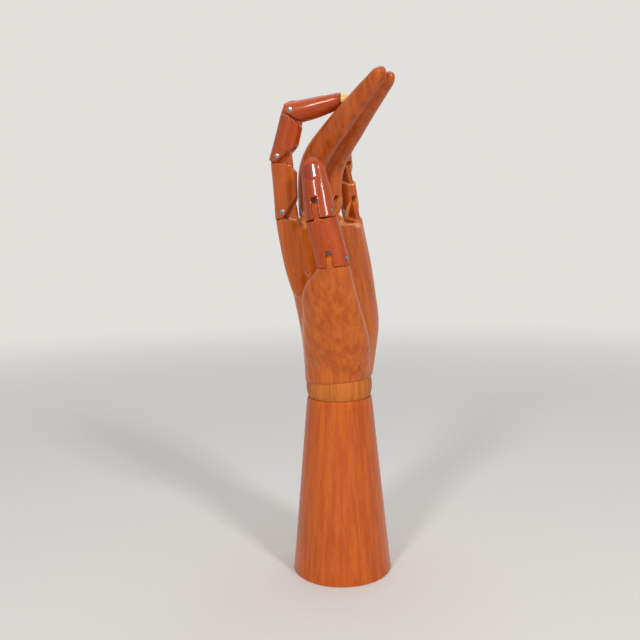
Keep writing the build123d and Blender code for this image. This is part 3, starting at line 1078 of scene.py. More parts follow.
@dataclass
class Finger:
    """A jointed finger or thumb and its hinge pins.

    Attributes:
        name: What its pieces' names start with.
        root: The first hinge, measured from the ball's middle.
        turn: How far it is turned about Z.
        splay: How far it leans sideways.
        leans: How far each bone is bent.
        lengths: The bones' lengths.
        width: Its width.
        depth: Its depth.
        bones: The bones' names.
        tables: Way, width share, depth share and back share of each bone.
        chamfers: The slope of each bone's lower end.
        slopes: The slope of each bone's knuckle.
        corners: The radius of each bone's lower back corner.
        finishes: The finish of each bone.
        skew: How far the first bone tips sideways.
        settle_back: How much of that the next hinge turns back.
        root_slot_top: How far the first bone's slot reaches above its hinge.
        back_round: The radius of the tongues' back corners.
        bare_end: The height from which the last bone's stain is missing.
        slot_name: A finish's name; not used.
        inside: The finish of the sawn faces.
        tip_round: The share of the last bone that is rounded.
        nail_width: The nail's width as a share of the tip's.
        nail_length: Its length as a share of the bone's.
        nail_depth: How deep it is carved.
        nail_lift: Where it ends, as a share of the bone's length.
        nail_rise: How far it tips out of the back, in degrees.
        nail_corner: The radius of its lower corners, as a share of its width.
        nail_corner_steps: How many flats each of those corners has.
    """

    name: str
    root: Row
    turn: float
    splay: float
    leans: Row
    lengths: Row
    width: float
    depth: float
    bones: tuple[str, ...]
    tables: tuple[tuple[Row, ...], ...]
    chamfers: Row
    slopes: Row
    corners: Row
    finishes: tuple[Wood, ...]
    skew: float = 0.0
    settle_back: float = 0.0
    root_slot_top: float | None = None
    back_round: float = JOINERY.back_round
    bare_end: float | None = None
    slot_name: str = "red_wood"
    inside: Wood = KNUCKLE_WOOD
    tip_round: float = 0.24
    nail_width: float = 0.62
    nail_length: float = 0.36
    nail_depth: float = 0.45
    nail_lift: float = 0.93
    nail_rise: float = 2.0
    nail_corner: float = 0.49
    nail_corner_steps: int = 14

    def places(self) -> list[Matrix]:
        """The bones' places, measured from the ball's middle."""
        return chain(self.root, self.turn, self.splay, self.leans, self.lengths, self.skew, self.settle_back)

    def rings(self, table: Sequence[Row], length: float, skew: float) -> list[Ring]:
        """The sections of one bone.

        Args:
            table: Its table.
            length: Its length from seam to seam.
            skew: How far it tips sideways.

        Returns:
            The sections from the seam up.
        """
        found = []
        for way, wide, deep, back in smooth_rows(table, 7):
            turn_back = skew + way * (self.settle_back - skew)
            place = Matrix.Translation((0, 0, -JOINERY.pin_rise)) @ about("Y", skew)
            place = place @ Matrix.Translation((0, 0, way * length)) @ about("Y", -turn_back)
            place = place @ Matrix.Translation((0, -back * self.depth, 0))
            found.append(oval(place, wide * self.width / 2, deep * self.depth / 2))
        return found

    def tip_rings(self, table: Sequence[Row], length: float) -> list[Ring]:
        """The sections of the last bone with its rounded end.

        Args:
            table: Its table.
            length: Its length from the hinge to the tip.

        Returns:
            The sections from the seam up.
        """
        straight = length * (1 - self.tip_round)
        found = self.rings(table, straight + JOINERY.pin_rise, 0)
        _, wide, deep, back = table[-1]
        place = Matrix.Translation((0, -back * self.depth, straight))
        return found + dome(place, wide * self.width / 2, deep * self.depth / 2, length - straight)

    def nail_cutter(self, table: Sequence[Row], length: float) -> bpy.types.Object:
        """The wood that is carved away down to the nail.

        Args:
            table: The last bone's table.
            length: Its length.

        Returns:
            The cutter.
        """
        middle, end = table[-2:]
        wide = self.nail_width * end[1] * self.width
        tall = self.nail_length * length
        foot = length * self.nail_lift - tall
        levels = [(row[2] / 2 - row[3]) * self.depth for row in (middle, end)]
        straight = length * (1 - self.tip_round)
        fall = math.degrees(math.atan((levels[0] - levels[1]) / ((end[0] - middle[0]) * straight)))
        cutter = block((wide, self.depth, 2 * tall), (0, self.depth / 2, foot + tall))

        def low_corner(edge: bmesh.types.BMEdge) -> bool:
            """Whether an edge is one of the two that run into the finger at the nail's foot."""
            a, b = (vertex.co for vertex in edge.verts)
            return abs(a.y - b.y) > 1 and max(a.z, b.z) < foot + ON_PLANE

        only(cutter)
        bpy.ops.object.mode_set(mode="EDIT")
        pick(cutter, "EDGE", low_corner)
        bpy.ops.mesh.bevel(offset=wide * self.nail_corner, segments=self.nail_corner_steps, affect="EDGES")
        bpy.ops.object.mode_set(mode="OBJECT")
        crown_radius = end[1] * self.width
        size = {"vertices": CROWN_SIDES, "radius": crown_radius, "depth": 4 * length}
        crown = made(bpy.ops.mesh.primitive_cylinder_add, **size)
        crown.data.transform(Matrix.Translation((0, -crown_radius - self.nail_depth, 0)))
        crown.data.transform(about("X", fall - self.nail_rise))
        crown.data.transform(Matrix.Translation((0, sum(levels) / 2, foot)))
        carve(cutter, [crown], None)
        return cutter

    def build_bone(self, index: int, place: Matrix) -> None:
        """Build and dress one bone.

        Args:
            index: Which bone.
            place: Its place, measured from the ball's middle.
        """
        table, length = self.tables[index], self.lengths[index]
        last = index == len(self.bones) - 1
        skew = self.skew if index == 0 else 0.0
        node = f"{self.name}_{self.bones[index]}"
        here = metres(WRIST.hand @ place)
        piece = limb(node, self.tip_rings(table, length) if last else self.rings(table, length, skew))
        bare_end = self.bare_end if last else None
        outside = self.finishes[index].material(node, here, 11.0 * index + self.turn, bare_end)
        bare = self.inside.material(node, here, 5.0 * index + self.turn)
        dress(piece, outside, bare)
        open_foot(piece, self.chamfers[index], self.corners[index])
        parts = [piece]
        if not last:
            top = upper_end(length, skew, self.settle_back if index == 0 else 0.0)
            close_head(piece, top, self.slopes[index])
            _, _, deep, back = table[-1]
            blade = tongue(top, deep * self.depth / 2, back * self.depth, self.back_round, self.slopes[index])
            dress(blade, outside)
            parts.append(blade)
        piece = joined(parts)
        carve(piece, slot_cutters(top=self.root_slot_top if index == 0 else None), bare)
        if last:
            # The nail's carved faces take the darker nail finish, a painted shade for its recess.
            carve(piece, [self.nail_cutter(table, length)], NAIL_PAINTED_SHADE.material(node, here, 3.0 + self.turn))
        sand(piece, BONE_SKIN)
        settle(piece, here, f"{node}_wood", node, node)

    def build_pin(self, index: int, place: Matrix) -> None:
        """Build and dress the pin of one bone's hinge.

        Args:
            index: Which bone.
            place: Its place, measured from the ball's middle.
        """
        _, wide, deep, back = self.tables[index][0]
        half = wide * self.width / 2 * math.sqrt(1 - (2 * back / deep) ** 2) - JOINERY.pin_recess
        node = f"{self.name}_{self.bones[index]}"
        hinge_pin(f"{node}_pin", 2 * half, place, node)

    def build(self) -> None:
        """Build every bone and pin."""
        for index, place in enumerate(self.places()):
            self.build_bone(index, place)
            self.build_pin(index, place)


@dataclass(frozen=True)
class PinEnd:
    """The eased and dimpled ends of a pin, in millimetres and degrees."""

    rim: float = 0.3
    slope: float = 0.5
    dimple: float = 0.12
    bevel: float = 0.12
    bevel_from: float = 40.0
    sharp: float = 35.0
    facing: float = 0.9


PIN_END = PinEnd()


def hinge_pin(node: str, length: float, place: Matrix, body: str) -> None:
    """Build and dress a steel pin with eased ends.

    Args:
        node: The node that it stands for.
        length: Its length.
        place: Its place, measured from the ball's middle, along X.
        body: The body that it moves with.
    """
    piece = bar(JOINERY.pin_radius, length)
    only(piece)
    bpy.ops.object.mode_set(mode="EDIT")
    pick(piece, "FACE", lambda face: abs(face.normal.x) > PIN_END.facing)
    bpy.ops.mesh.inset(thickness=PIN_END.rim, depth=0.0)
    bpy.ops.mesh.inset(thickness=PIN_END.slope, depth=PIN_END.dimple)
    bpy.ops.object.mode_set(mode="OBJECT")
    limit = {"limit_method": "ANGLE", "angle_limit": math.radians(PIN_END.bevel_from)}
    apply(piece, "BEVEL", width=PIN_END.bevel, segments=2, **limit)
    here = metres(WRIST.hand @ place)
    dress(piece, PIN_STEEL.material(node, here, length))
    settle(piece, here, f"{node}_steel", body, node, PIN_END.sharp)


# Way along the bone, width share, depth share and back share of each section.
PROXIMAL = ((0.0, 1.0, 0.95, 0.055), (0.5, 0.97, 0.95, 0.09), (1.0, 1.02, 1.03, 0.14))
MIDDLE = ((0.0, 1.02, 1.03, 0.14), (0.5, 0.97, 0.97, 0.10), (1.0, 0.97, 0.94, 0.06))
DISTAL = ((0.0, 0.97, 0.87, 0.07), (0.55, 0.93, 0.79, 0.055), (1.0, 0.83, 0.63, -0.015))
THUMB_PROXIMAL = ((0.0, 1.04, 1.0, 0.07), (0.5, 1.0, 0.96, 0.07), (1.0, 0.97, 0.96, 0.08))
THUMB_DISTAL = ((0.0, 0.97, 0.96, 0.08), (0.5, 0.88, 0.86, 0.08), (1.0, 0.76, 0.66, 0.05))


THREE_BONES = {
    "bones": ("proximal", "middle", "distal"),
    "tables": (PROXIMAL, MIDDLE, DISTAL),
    "chamfers": (JOINERY.root_slopes[1], JOINERY.middle_slopes[1], JOINERY.tip_slopes[1]),
    "slopes": (JOINERY.middle_slopes[0], JOINERY.tip_slopes[0]),
    "corners": (0.0, 5.9, 5.5),
}


def index_finger() -> Finger:
    """The index finger, bent over the back of the joined fingers."""
    return Finger(
        name="index",
        root=(-30.6, -0.6, 107.9),
        turn=35.0,
        splay=0.0,
        leans=(-0.6, 22.2, 86.5),
        lengths=(31.8, 26.8, 33.5),
        width=13.2,
        depth=15.0,
        **THREE_BONES,
        finishes=(WARM_WOOD, RED_WOOD, RED_WOOD),
        bare_end=0.0305,
    )


def little_finger() -> Finger:
    """The little finger, slightly bent."""
    return Finger(
        name="little",
        root=(19.2, -2.2, 107.4),
        turn=-5.0,
        splay=-7.0,
        leans=(-3.0, 12.0, 30.0),
        lengths=(23.0, 20.0, 22.0),
        width=11.2,
        depth=13.2,
        **THREE_BONES,
        finishes=(PAIR_WOOD, WARM_WOOD, WARM_WOOD),
        slot_name="hand_wood",
        inside=BARE_WOOD,
    )


def thumb() -> Finger:
    """The thumb, its back to the front left."""
    return Finger(
        name="thumb",
        root=(-29.6, -37.7, 78.2),
        turn=120.0,
        splay=1.0,
        leans=(-2.0, 6.0),
        lengths=(26.4, 31.6),
        width=18.4,
        depth=16.0,
        bones=("proximal", "distal"),
        tables=(THUMB_PROXIMAL, THUMB_DISTAL),
        chamfers=(JOINERY.thumb_slopes[1], JOINERY.thumb_slopes[1]),
        slopes=(JOINERY.thumb_slopes[0],),
        corners=(0.0, 0.0),
        finishes=(RED_WOOD, RED_WOOD),
        skew=9.3,
        settle_back=3.6,
        root_slot_top=5.1,
        back_round=JOINERY.thumb_round,
    )


@dataclass
class JoinedFingers:
    """The middle and ring fingers, carved in one, and their pin."""

    root: Row = (-5.3, -2.5, 108.5)
    lean: float = 4.0
    splay: float = -1.2
    reach: float = 104.0
    shorter: float = 2.5
    width: float = 15.8
    depth: float = 16.0
    offset: float = 7.4
    back: float = 0.05
    bend: float = 54.0
    foot_block: Row = (39.5, 40.0, 14.0)
    table: tuple[Row, ...] = (
        (0.0, 0.0, 1.0, 1.0),
        (0.10, 0.0, 0.99, 0.98),
        (0.19, 0.12, 0.98, 0.98),
        (0.27, 0.42, 0.97, 1.01),
        (0.35, 0.80, 0.94, 1.01),
        (0.45, 0.98, 0.88, 0.96),
        (0.58, 0.98, 0.80, 0.87),
        (0.70, 1.0, 0.71, 0.76),
        (0.82, 1.03, 0.62, 0.66),
        (0.92, 1.03, 0.54, 0.56),
    )

    @property
    def place(self) -> Matrix:
        """The place of the hinge, measured from the ball's middle."""
        return root_frame(self.root, 0, self.splay, self.lean)

    def lobe(self, side: int, reach: float) -> bpy.types.Object:
        """One of the two fingers.

        Args:
            side: -1 for the middle finger, 1 for the ring finger.
            reach: Its length along its bend.

        Returns:
            The lobe.
        """
        at = Matrix.Translation((0, -self.back * self.depth, -JOINERY.pin_rise))
        rows, last = [], 0.0
        for way, bend, wide, deep in self.table:
            half = Matrix.Translation((0, 0, (way - last) * reach / 2))
            at = Matrix.Translation((at @ half).translation) @ about("X", bend * self.bend) @ half
            rows.append((way, at.translation.y, at.translation.z, bend * self.bend, wide, deep))
            last = way
        rings = []
        for _, y, z, bend, wide, deep in smooth_rows(rows, 4):
            here = Matrix.Translation((0, y, z)) @ about("X", bend)
            here = here @ Matrix.Translation((side * self.offset * wide, 0, 0))
            rings.append(oval(here, wide * self.width / 2, deep * self.depth / 2))
            end = (here, wide * self.width / 2, deep * self.depth / 2)
        rings += dome(*end, (1 - last) * reach)
        return limb(f"lobe{side}", rings)

    def build(self) -> None:
        """Build and dress the two fingers and their pin."""
        here = metres(WRIST.hand @ self.place)
        pieces = [self.lobe(-1, self.reach), self.lobe(1, self.reach - self.shorter)]
        outside = PAIR_WOOD.material("pair", here, 2.0)
        bare = BARE_WOOD.material("pair", here, 8.0)
        piece = joined(pieces)
        dress(piece, outside, bare)
        sand(piece, PAIR_BLANK)
        foot = Matrix.Translation((0, 0, -JOINERY.pin_rise)) @ about("X", -JOINERY.root_slopes[1])
        below = block(self.foot_block, (0, 0, -self.foot_block[2] / 2), foot)
        carve(piece, [below, *slot_cutters((-self.offset, self.offset))], bare)
        sand(piece, PAIR_SKIN)
        settle(piece, here, "middle_ring_pair_wood", "middle_ring_pair", "middle_ring_pair")
        half = self.offset + self.width / 2 - JOINERY.pin_recess
        hinge_pin("middle_ring_pair_pin", 2 * half, self.place, "middle_ring_pair")


# ---------------------------------------------------------------------------------------------------------
# Palm
# ---------------------------------------------------------------------------------------------------------


@dataclass(frozen=True)
class Seat:
    """Where a finger sits on the palm.

    Attributes:
        place: The place of its hinge, measured from the ball's middle.
        width: Its width.
        depth: Its depth.
        row: Its own table at its hinge.
        half: Half the width and half the depth of what the knuckle's cut clears.
        offsets: Where its lobes are.
        back_slope: The slope of the knuckle's back side.
        slope: The slope of the knuckle's palm side.
        back_round: The radius of the tongue's back corner.
        top: How far the tongue reaches above the hinge.
    """

    place: Matrix
    width: float
    depth: float
    row: Row
    half: Row
    offsets: Row = (0.0,)
    back_slope: float = 0.0
    slope: float = JOINERY.root_slopes[0]
    back_round: float = JOINERY.back_round
    top: float | None = None


@dataclass
class Palm:
    """The palm block with the ball of the thumb and the roots of the fingers.

    Each row of the sections gives way, shift along X and Y, width share, depth share and squareness, each
    row of the roots way, width share and depth share, and each of the thenar way, shift, width share and
    depth share.
    """

    length: float = 99.0
    half_width: float = 29.0
    half_depth: float = 14.6
    rim_rise: float = 4.0
    rim_radius: float = 20.95
    bore_depth: float = 52.0
    pin_height: float = 41.0
    pin_front: float = 11.5
    pin_back: float = 13.0
    pin_hole: float = 40.0
    root_reach: float = 46.0
    index_lean: float = -4.2
    index_back_slope: float = 6.4
    thumb_tongue_top: float = 3.3
    thumb_lift: float = 3.0
    root_overrun: float = 0.06
    cut_height: float = 14.0
    cut_overlap: float = 0.4
    edge_overlap: float = 0.2
    ball_sides: tuple[int, int] = (96, 64)
    sections: tuple[Row, ...] = (
        (0.12, 0.03, -0.07, 0.765, 1.41, 2.1),
        (0.36, 0.07, -0.24, 0.93, 1.24, 2.3),
        (0.56, 0.03, -0.20, 0.98, 1.12, 2.5),
        (0.76, -0.03, -0.15, 1.0, 1.02, 2.8),
        (0.92, -0.115, -0.12, 0.98, 0.96, 3.0),
        (1.0, -0.14, -0.11, 0.95, 0.92, 3.0),
    )
    roots: tuple[Row, ...] = ((0.0, 1.0, 1.0), (0.3, 1.04, 1.02), (0.62, 0.98, 0.95), (1.0, 0.7, 0.6))
    thenar_start: Row = (-3.0, -4.0, 7.0)
    thenar: tuple[Row, ...] = (
        (0.0, 0.0, 2.02, 1.76),
        (0.3, 0.03, 2.17, 1.74),
        (0.6, 0.13, 1.88, 1.44),
        (0.8, 0.22, 1.70, 1.25),
        (0.9, 0.17, 1.44, 1.12),
        (1.0, 0.0, 1.0, 1.0),
    )

    def core(self) -> bpy.types.Object:
        """The block from the ball's rim to the knuckles."""
        rows = [(self.rim_rise / self.length, 0.0, 0.0, self.rim_radius / self.half_width)]
        rows[0] += (self.rim_radius / self.half_depth, 2.0)
        rows += list(self.sections)
        rings = []
        for way, x, y, wide, deep, squareness in smooth_rows(rows, 5):
            place = Matrix.Translation((x * self.half_width, y * self.half_depth, way * self.length))
            rings.append(oval(place, wide * self.half_width, deep * self.half_depth, max(squareness, 2.0)))
        return limb("core", rings)

    def thumb_ball(self, finger: Finger) -> bpy.types.Object:
        """The ball of the thumb, up to the thumb's seam.

        Args:
            finger: The thumb that it carries.

        Returns:
            The ball of the thumb.
        """
        _, wide, deep, back = finger.tables[0][0]
        base = finger.places()[0]
        start = Vector(self.thenar_start)
        end = (base @ Matrix.Translation((0, -back * finger.depth, -JOINERY.pin_rise))).translation
        rings = []
        for way, shift, width_share, depth_share in smooth_rows(self.thenar, 5):
            place = Matrix.Translation(start + (end - start) * way) @ about("Z", finger.turn)
            place = place @ about("Y", way * finger.splay) @ about("X", way * finger.leans[0])
            place = place @ Matrix.Translation((shift * finger.width, 0, 0))
            half_width = width_share * wide * finger.width / 2
            rings.append(oval(place, half_width, depth_share * deep * finger.depth / 2))
        lift = (base.to_3x3() @ Vector((0, 0, 1))) * self.thumb_lift
        rings.append([point + lift for point in rings[-1]])
        return limb("thumb_ball", rings)

    def finger_root(self, seat: Seat) -> list[bpy.types.Object]:
        """The root of a finger, reaching a little above its seam.

        Args:
            seat: Where the finger sits.

        Returns:
            One root for each lobe.
        """
        _, wide, deep, back = seat.row
        rows = [(-self.root_overrun, *self.roots[0][1:]), *self.roots]
        found = []
        for offset in seat.offsets:
            rings = []
            for way, width_share, depth_share in reversed(smooth_rows(rows, 5)):
                height = -JOINERY.pin_rise - way * self.root_reach
                at = seat.place @ Matrix.Translation((offset, -back * seat.depth, height))
                half_width = width_share * wide * seat.width / 2
                rings.append(oval(at, half_width, depth_share * deep * seat.depth / 2))
            found.append(limb("root", rings))
        return found

    def knuckle_cutters(self, seat: Seat) -> list[bpy.types.Object]:
        """Blocks that cut one root down to its knuckle.

        Args:
            seat: Where the finger sits.

        Returns:
            The blocks.
        """
        wide, deep = seat.half
        reaches = ((-self.cut_overlap, deep), (-deep, self.cut_overlap), (-deep / 2, self.edge_overlap))
        found = []
        for (y, z, degrees), (low, high) in zip(knuckle_planes(seat.slope, seat.back_slope), reaches):
            turn = seat.place @ Matrix.Translation((0, y, z)) @ about("X", degrees)
            size = (2 * wide, high - low, self.cut_height)
            found.append(block(size, (0, (high + low) / 2, self.cut_height / 2), turn))
        return found

    def wrist_cutters(self) -> list[bpy.types.Object]:
        """The ball's cup, the spring's bore and the hole of its pin."""
        segments, rings = self.ball_sides
        size = {"segments": segments, "ring_count": rings, "radius": WRIST.ball_radius + WRIST.clearance}
        ball = made(bpy.ops.mesh.primitive_uv_sphere_add, **size)
        hole = Matrix.Translation((0, self.pin_hole / 2 - self.pin_front, self.pin_height)) @ about("Z", 90)
        bore = bar(WRIST.bore, 2 * self.bore_depth, about("Y", 90))
        return [ball, bore, bar(JOINERY.pin_radius, self.pin_hole, hole)]

    def tongues(self, seat: Seat) -> list[bpy.types.Object]:
        """The tongues that a finger turns on."""
        _, _, deep, back = seat.row
        shape = (deep * seat.depth / 2, back * seat.depth, seat.back_round, seat.slope, seat.top)
        return [tongue(seat.place @ Matrix.Translation((offset, 0, 0)), *shape) for offset in seat.offsets]

    def seats(self, index: Finger, pair: JoinedFingers, little: Finger, thumb_finger: Finger) -> list[Seat]:
        """Where the fingers sit, the thumb last.

        Args:
            index: The index finger.
            pair: The joined fingers.
            little: The little finger.
            thumb_finger: The thumb.

        Returns:
            The seats.
        """
        index_place = root_frame(index.root, index.turn, 0, self.index_lean)
        pair_row, offsets = (0.0, 1.0, 1.0, pair.back), (-pair.offset, pair.offset)
        thumb_place, thumb_size = thumb_finger.places()[0], (thumb_finger.width, thumb_finger.depth)
        thumb_shape = {"slope": JOINERY.thumb_slopes[0], "back_round": JOINERY.thumb_round}
        thumb_shape["top"] = self.thumb_tongue_top
        return [
            Seat(index_place, index.width, index.depth, PROXIMAL[0], (9, 13), back_slope=self.index_back_slope),
            Seat(pair.place, pair.width, pair.depth, pair_row, (17, 13), offsets),
            Seat(little.places()[0], little.width, little.depth, PROXIMAL[0], (7.5, 13)),
            Seat(thumb_place, *thumb_size, THUMB_PROXIMAL[0], (16, 16), **thumb_shape),
        ]

    def build(self, index: Finger, pair: JoinedFingers, little: Finger, thumb_finger: Finger) -> None:
        """Build and dress the palm and its spring's pin.

        Args:
            index: The index finger.
            pair: The joined fingers.
            little: The little finger.
            thumb_finger: The thumb.
        """
        here = metres(WRIST.hand)
        seats = self.seats(index, pair, little, thumb_finger)
        outside = PALM_WOOD.material("palm", here, 1.0)
        bare = BARE_WOOD.material("palm", here, 4.0)
        parts = [self.core(), self.thumb_ball(thumb_finger)]
        for seat in seats[:-1]:
            parts += self.finger_root(seat)
        piece = joined(parts)
        dress(piece, outside, bare)
        sand(piece, PALM_BLANK)
        cutters = [cutter for seat in seats for cutter in self.knuckle_cutters(seat)]
        carve(piece, [*cutters, *self.wrist_cutters()], bare)
        blades = [blade for seat in seats for blade in self.tongues(seat)]
        for blade in blades:
            dress(blade, outside)
        piece = joined([piece, *blades])
        sand(piece, PALM_SKIN)
        settle(piece, here, "palm_wood", "palm", "palm")
        middle = (self.pin_back - self.pin_front) / 2
        pin_place = Matrix.Translation((0, middle, self.pin_height)) @ about("Z", 90)
        hinge_pin("palm_spring_pin", self.pin_front + self.pin_back, pin_place, "palm")


# ---------------------------------------------------------------------------------------------------------
# Stand
# ---------------------------------------------------------------------------------------------------------


@dataclass
class Stand:
    """The turned stand, the wrist ball, the spring and the stand's own pin."""

    foot_edge: float = 0.5
    top_edge: float = 0.8
    ball_bore: float = 7.0
    flare: float = 10.0
    steps: int = 128
    side_steps: int = 24
    cup_steps: int = 20
    ball_steps: int = 48
    flare_depth: float = 6.0
    sharp: float = 40.0

    def cup_arc(self) -> list[tuple[float, float]]:
        """The radius and height of points of the cup that the ball sits in, from its rim inwards."""
        radius = WRIST.ball_radius + WRIST.clearance
        outer = WRIST.top_radius - WRIST.rim_wall
        found = []
        for step in range(self.cup_steps + 1):
            here = outer + (WRIST.bore - outer) * step / self.cup_steps
            found.append((here, WRIST.ball_height - math.sqrt(radius**2 - here**2)))
        return found

    def build_cone(self) -> None:
        """Build and dress the turned cone."""
        rise, foot, top = WRIST.stand_height, WRIST.foot_radius, WRIST.top_radius
        slope = (foot - top) / rise
        profile = [(WRIST.well_radius, 0.0), (foot - self.foot_edge, 0.0), (foot, self.foot_edge)]
        for step in range(1, self.side_steps):
            height = self.foot_edge + (rise - self.foot_edge - self.top_edge) * step / self.side_steps
            profile.append((foot - slope * height, height))
        for degrees in range(0, 91, 15):
            turn = math.radians(degrees)
            out = top - self.top_edge + self.top_edge * math.cos(turn)
            profile.append((out, rise - self.top_edge + self.top_edge * math.sin(turn)))
        profile += self.cup_arc()
        profile += [(WRIST.bore, WRIST.well_depth), (WRIST.well_radius, WRIST.well_depth)]
        piece = turned("cone", profile, self.steps)
        dress(piece, STAND_WOOD.material("stand", Matrix.Identity(4), 6.0))
        settle(piece, Matrix.Identity(4), "base_wood", "base", "base", self.sharp)

    def build_ball(self) -> None:
        """Build and dress the wrist ball with its flared bore."""
        radius = WRIST.ball_radius
        open_height = math.sqrt(radius**2 - self.flare**2)
        start = math.asin(open_height / radius)
        profile = []
        for step in range(self.ball_steps + 1):
            turn = -start + 2 * start * step / self.ball_steps
            profile.append((radius * math.cos(turn), radius * math.sin(turn)))
        straight = open_height - self.flare_depth
        profile += [(self.ball_bore, straight), (self.ball_bore, -straight)]
        piece = turned("ball", profile, self.steps)
        place = metres(Matrix.Translation((0, 0, WRIST.ball_height)))
        dress(piece, BALL_WOOD.material("ball", place, 3.0))
        settle(piece, place, "wrist_ball_wood", "wrist_ball", "wrist_ball", self.sharp)

    def build(self, nodes: dict[str, bpy.types.Object]) -> None:
        """Build the stand's pieces and dress the spring.

        Args:
            nodes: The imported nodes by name.
        """
        self.build_cone()
        self.build_ball()
        down = WRIST.hand.inverted() @ Matrix.Translation((0, 0, WRIST.well_depth))
        length = 2 * WRIST.well_radius - 2 * WRIST.clearance
        hinge_pin("base_spring_pin", length, down, "base")
        dress(nodes["wrist_spring"], PIN_STEEL.material("spring", Matrix.Identity(4), 1.0))
        log.info("wrist_spring: kept as packed, dressed in steel")


# ---------------------------------------------------------------------------------------------------------
# Studio
# ---------------------------------------------------------------------------------------------------------


def seen_rays(tree: bpy.types.NodeTree) -> bpy.types.NodeSocket:
    """The rays that show the backdrop: those of the camera, of reflections and of what is seen through glass.

    Args:
        tree: The nodes that ask.

    Returns:
        The socket with 1 for such a ray and 0 for any other.
    """
    path = tree.nodes.new("ShaderNodeLightPath")
    found = path.outputs["Is Camera Ray"]
    for kind in ("Is Glossy Ray", "Is Transmission Ray"):
        either = tree.nodes.new("ShaderNodeMath")
        either.operation = "MAXIMUM"
        tree.links.new(found, either.inputs[0])
        tree.links.new(path.outputs[kind], either.inputs[1])
        found = either.outputs[0]
    return found


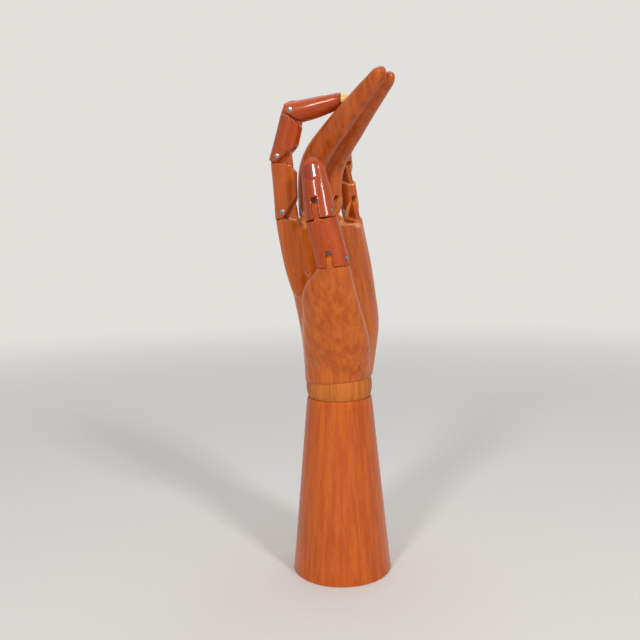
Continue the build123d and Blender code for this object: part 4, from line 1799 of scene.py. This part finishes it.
@dataclass
class Studio:
    """Floor, lamps, world and camera.

    Attributes:
        focal_pixels: The camera's focal length in the photograph's pixels.
        frame_pixels: The photograph's width.
        sensor: The sensor's width, in millimetres.
        azimuth: How far the camera stands round to the left, in degrees.
        distance: How far it stands from the stand's axis, in millimetres.
        height: How high it stands.
        sideways: How far it stands to the right of the way to the axis.
        pitch: How far it looks down, in degrees.
        roll: How far it is rolled, in degrees.
        floor_colour: The colour of the floor and backdrop.
        room_colour: The colour of the light from all sides.
        room_strength: The strength of that light.
        fade: Where the floor starts to fade into the backdrop and where it ends, in metres.
        aim: What the lamps point at, in metres.
    """

    focal_pixels: float = 700.0
    frame_pixels: float = 640.0
    sensor: float = 36.0
    azimuth: float = 40.0
    distance: float = 433.49
    height: float = 200.74
    sideways: float = -11.235
    pitch: float = 5.53
    roll: float = -1.175
    floor_colour: Colour = (226, 224, 220)
    room_colour: Colour = (214, 214, 216)
    room_strength: float = 0.42
    fade: tuple[float, float] = (0.25, 1.6)
    aim: Row = (0, 0, 0.19)

    def build_camera(self) -> None:
        """Set the camera where the photograph was taken from."""
        data = bpy.data.cameras.new("camera")
        data.sensor_width = self.sensor
        data.lens = self.focal_pixels / self.frame_pixels * self.sensor
        data.clip_start, data.clip_end = 0.01, 20.0
        camera = bpy.data.objects.new("camera", data)
        bpy.context.scene.collection.objects.link(camera)
        screen = about("Z", -self.azimuth).to_3x3()
        pitch, roll = math.radians(self.pitch), math.radians(self.roll)
        forward = Vector((0, math.cos(pitch), -math.sin(pitch)))
        up = Vector((0, math.sin(pitch), math.cos(pitch)))
        right = Vector((1, 0, 0))
        turned_right = right * math.cos(roll) + up * math.sin(roll)
        turned_up = up * math.cos(roll) - right * math.sin(roll)
        axes = [screen @ turned_right, screen @ turned_up, screen @ -forward]
        matrix = Matrix((axes[0], axes[1], axes[2])).transposed().to_4x4()
        matrix.translation = screen @ Vector((self.sideways, -self.distance, self.height)) * MM
        camera.matrix_world = matrix
        bpy.context.scene.camera = camera

    def build_floor(self) -> None:
        """Lay a plain pale floor that fades into the backdrop."""
        floor = made(bpy.ops.mesh.primitive_plane_add, size=12, location=(0, 0, 0))
        floor.name = "floor"
        nodes = Nodes("floor")
        nodes.shader.inputs["Base Color"].default_value = linear(self.floor_colour)
        nodes.shader.inputs["Roughness"].default_value = 0.9
        length = nodes.add("ShaderNodeVectorMath", operation="LENGTH")
        nodes.link(nodes.add("ShaderNodeTexCoord").outputs["Object"], length.inputs[0])
        fade = nodes.add("ShaderNodeMath", operation="MULTIPLY")
        nodes.link(nodes.spread(length.outputs["Value"], *self.fade), fade.inputs[0])
        nodes.link(seen_rays(nodes.tree), fade.inputs[1])
        glow, mix = nodes.add("ShaderNodeEmission"), nodes.add("ShaderNodeMixShader")
        glow.inputs["Color"].default_value = linear(self.floor_colour)
        output = next(node for node in nodes.tree.nodes if node.type == "OUTPUT_MATERIAL")
        nodes.link(fade.outputs[0], mix.inputs["Fac"])
        nodes.link(nodes.shader.outputs["BSDF"], mix.inputs[1])
        nodes.link(glow.outputs[0], mix.inputs[2])
        nodes.link(mix.outputs[0], output.inputs["Surface"])
        dress(floor, nodes.material)

    def lamp(self, name: str, place: Row, size: float, power: float) -> None:
        """Hang a soft square lamp.

        Args:
            name: Its name.
            place: Where it hangs, in metres.
            size: Its width.
            power: Its power in watts.
        """
        data = bpy.data.lights.new(name, "AREA")
        data.shape = "SQUARE"
        data.size = size
        data.energy = power
        lamp = bpy.data.objects.new(name, data)
        lamp.location = place
        way = Vector(self.aim) - Vector(place)
        lamp.rotation_euler = way.to_track_quat("-Z", "Y").to_euler()
        bpy.context.scene.collection.objects.link(lamp)

    def build_light(self) -> None:
        """Hang two lamps in front and a wide one above, in a pale room."""
        self.lamp("left_lamp", (-1.25, -0.55, 0.85), 0.22, 8.5)
        self.lamp("right_lamp", (-0.15, -1.35, 0.95), 0.22, 9.5)
        self.lamp("top_lamp", (0.3, 0.2, 1.6), 1.4, 8)
        world = bpy.data.worlds.new("room")
        bpy.context.scene.world = world
        world.use_nodes = True
        tree = world.node_tree
        tree.nodes.clear()
        room, backdrop = (tree.nodes.new("ShaderNodeBackground") for _ in range(2))
        room.inputs["Color"].default_value = linear(self.room_colour)
        room.inputs["Strength"].default_value = self.room_strength
        backdrop.inputs["Color"].default_value = linear(self.floor_colour)
        mix, output = (tree.nodes.new(f"ShaderNode{kind}") for kind in ("MixShader", "OutputWorld"))
        tree.links.new(seen_rays(tree), mix.inputs["Fac"])
        tree.links.new(room.outputs[0], mix.inputs[1])
        tree.links.new(backdrop.outputs[0], mix.inputs[2])
        tree.links.new(mix.outputs[0], output.inputs["Surface"])

    def build(self) -> None:
        """Set up the whole studio."""
        self.build_floor()
        self.build_light()
        self.build_camera()
        bpy.context.scene.view_settings.view_transform = "Standard"


def main() -> None:
    """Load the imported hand, dress it and set up the studio."""
    logging.basicConfig(level=logging.INFO, format="%(message)s")
    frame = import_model()
    index, pair, little, thumb_finger = index_finger(), JoinedFingers(), little_finger(), thumb()
    Stand().build(frame["nodes"])
    Palm().build(index, pair, little, thumb_finger)
    pair.build()
    for finger in (index, little, thumb_finger):
        finger.build()
    Studio().build()


if __name__ == "__main__":
    main()
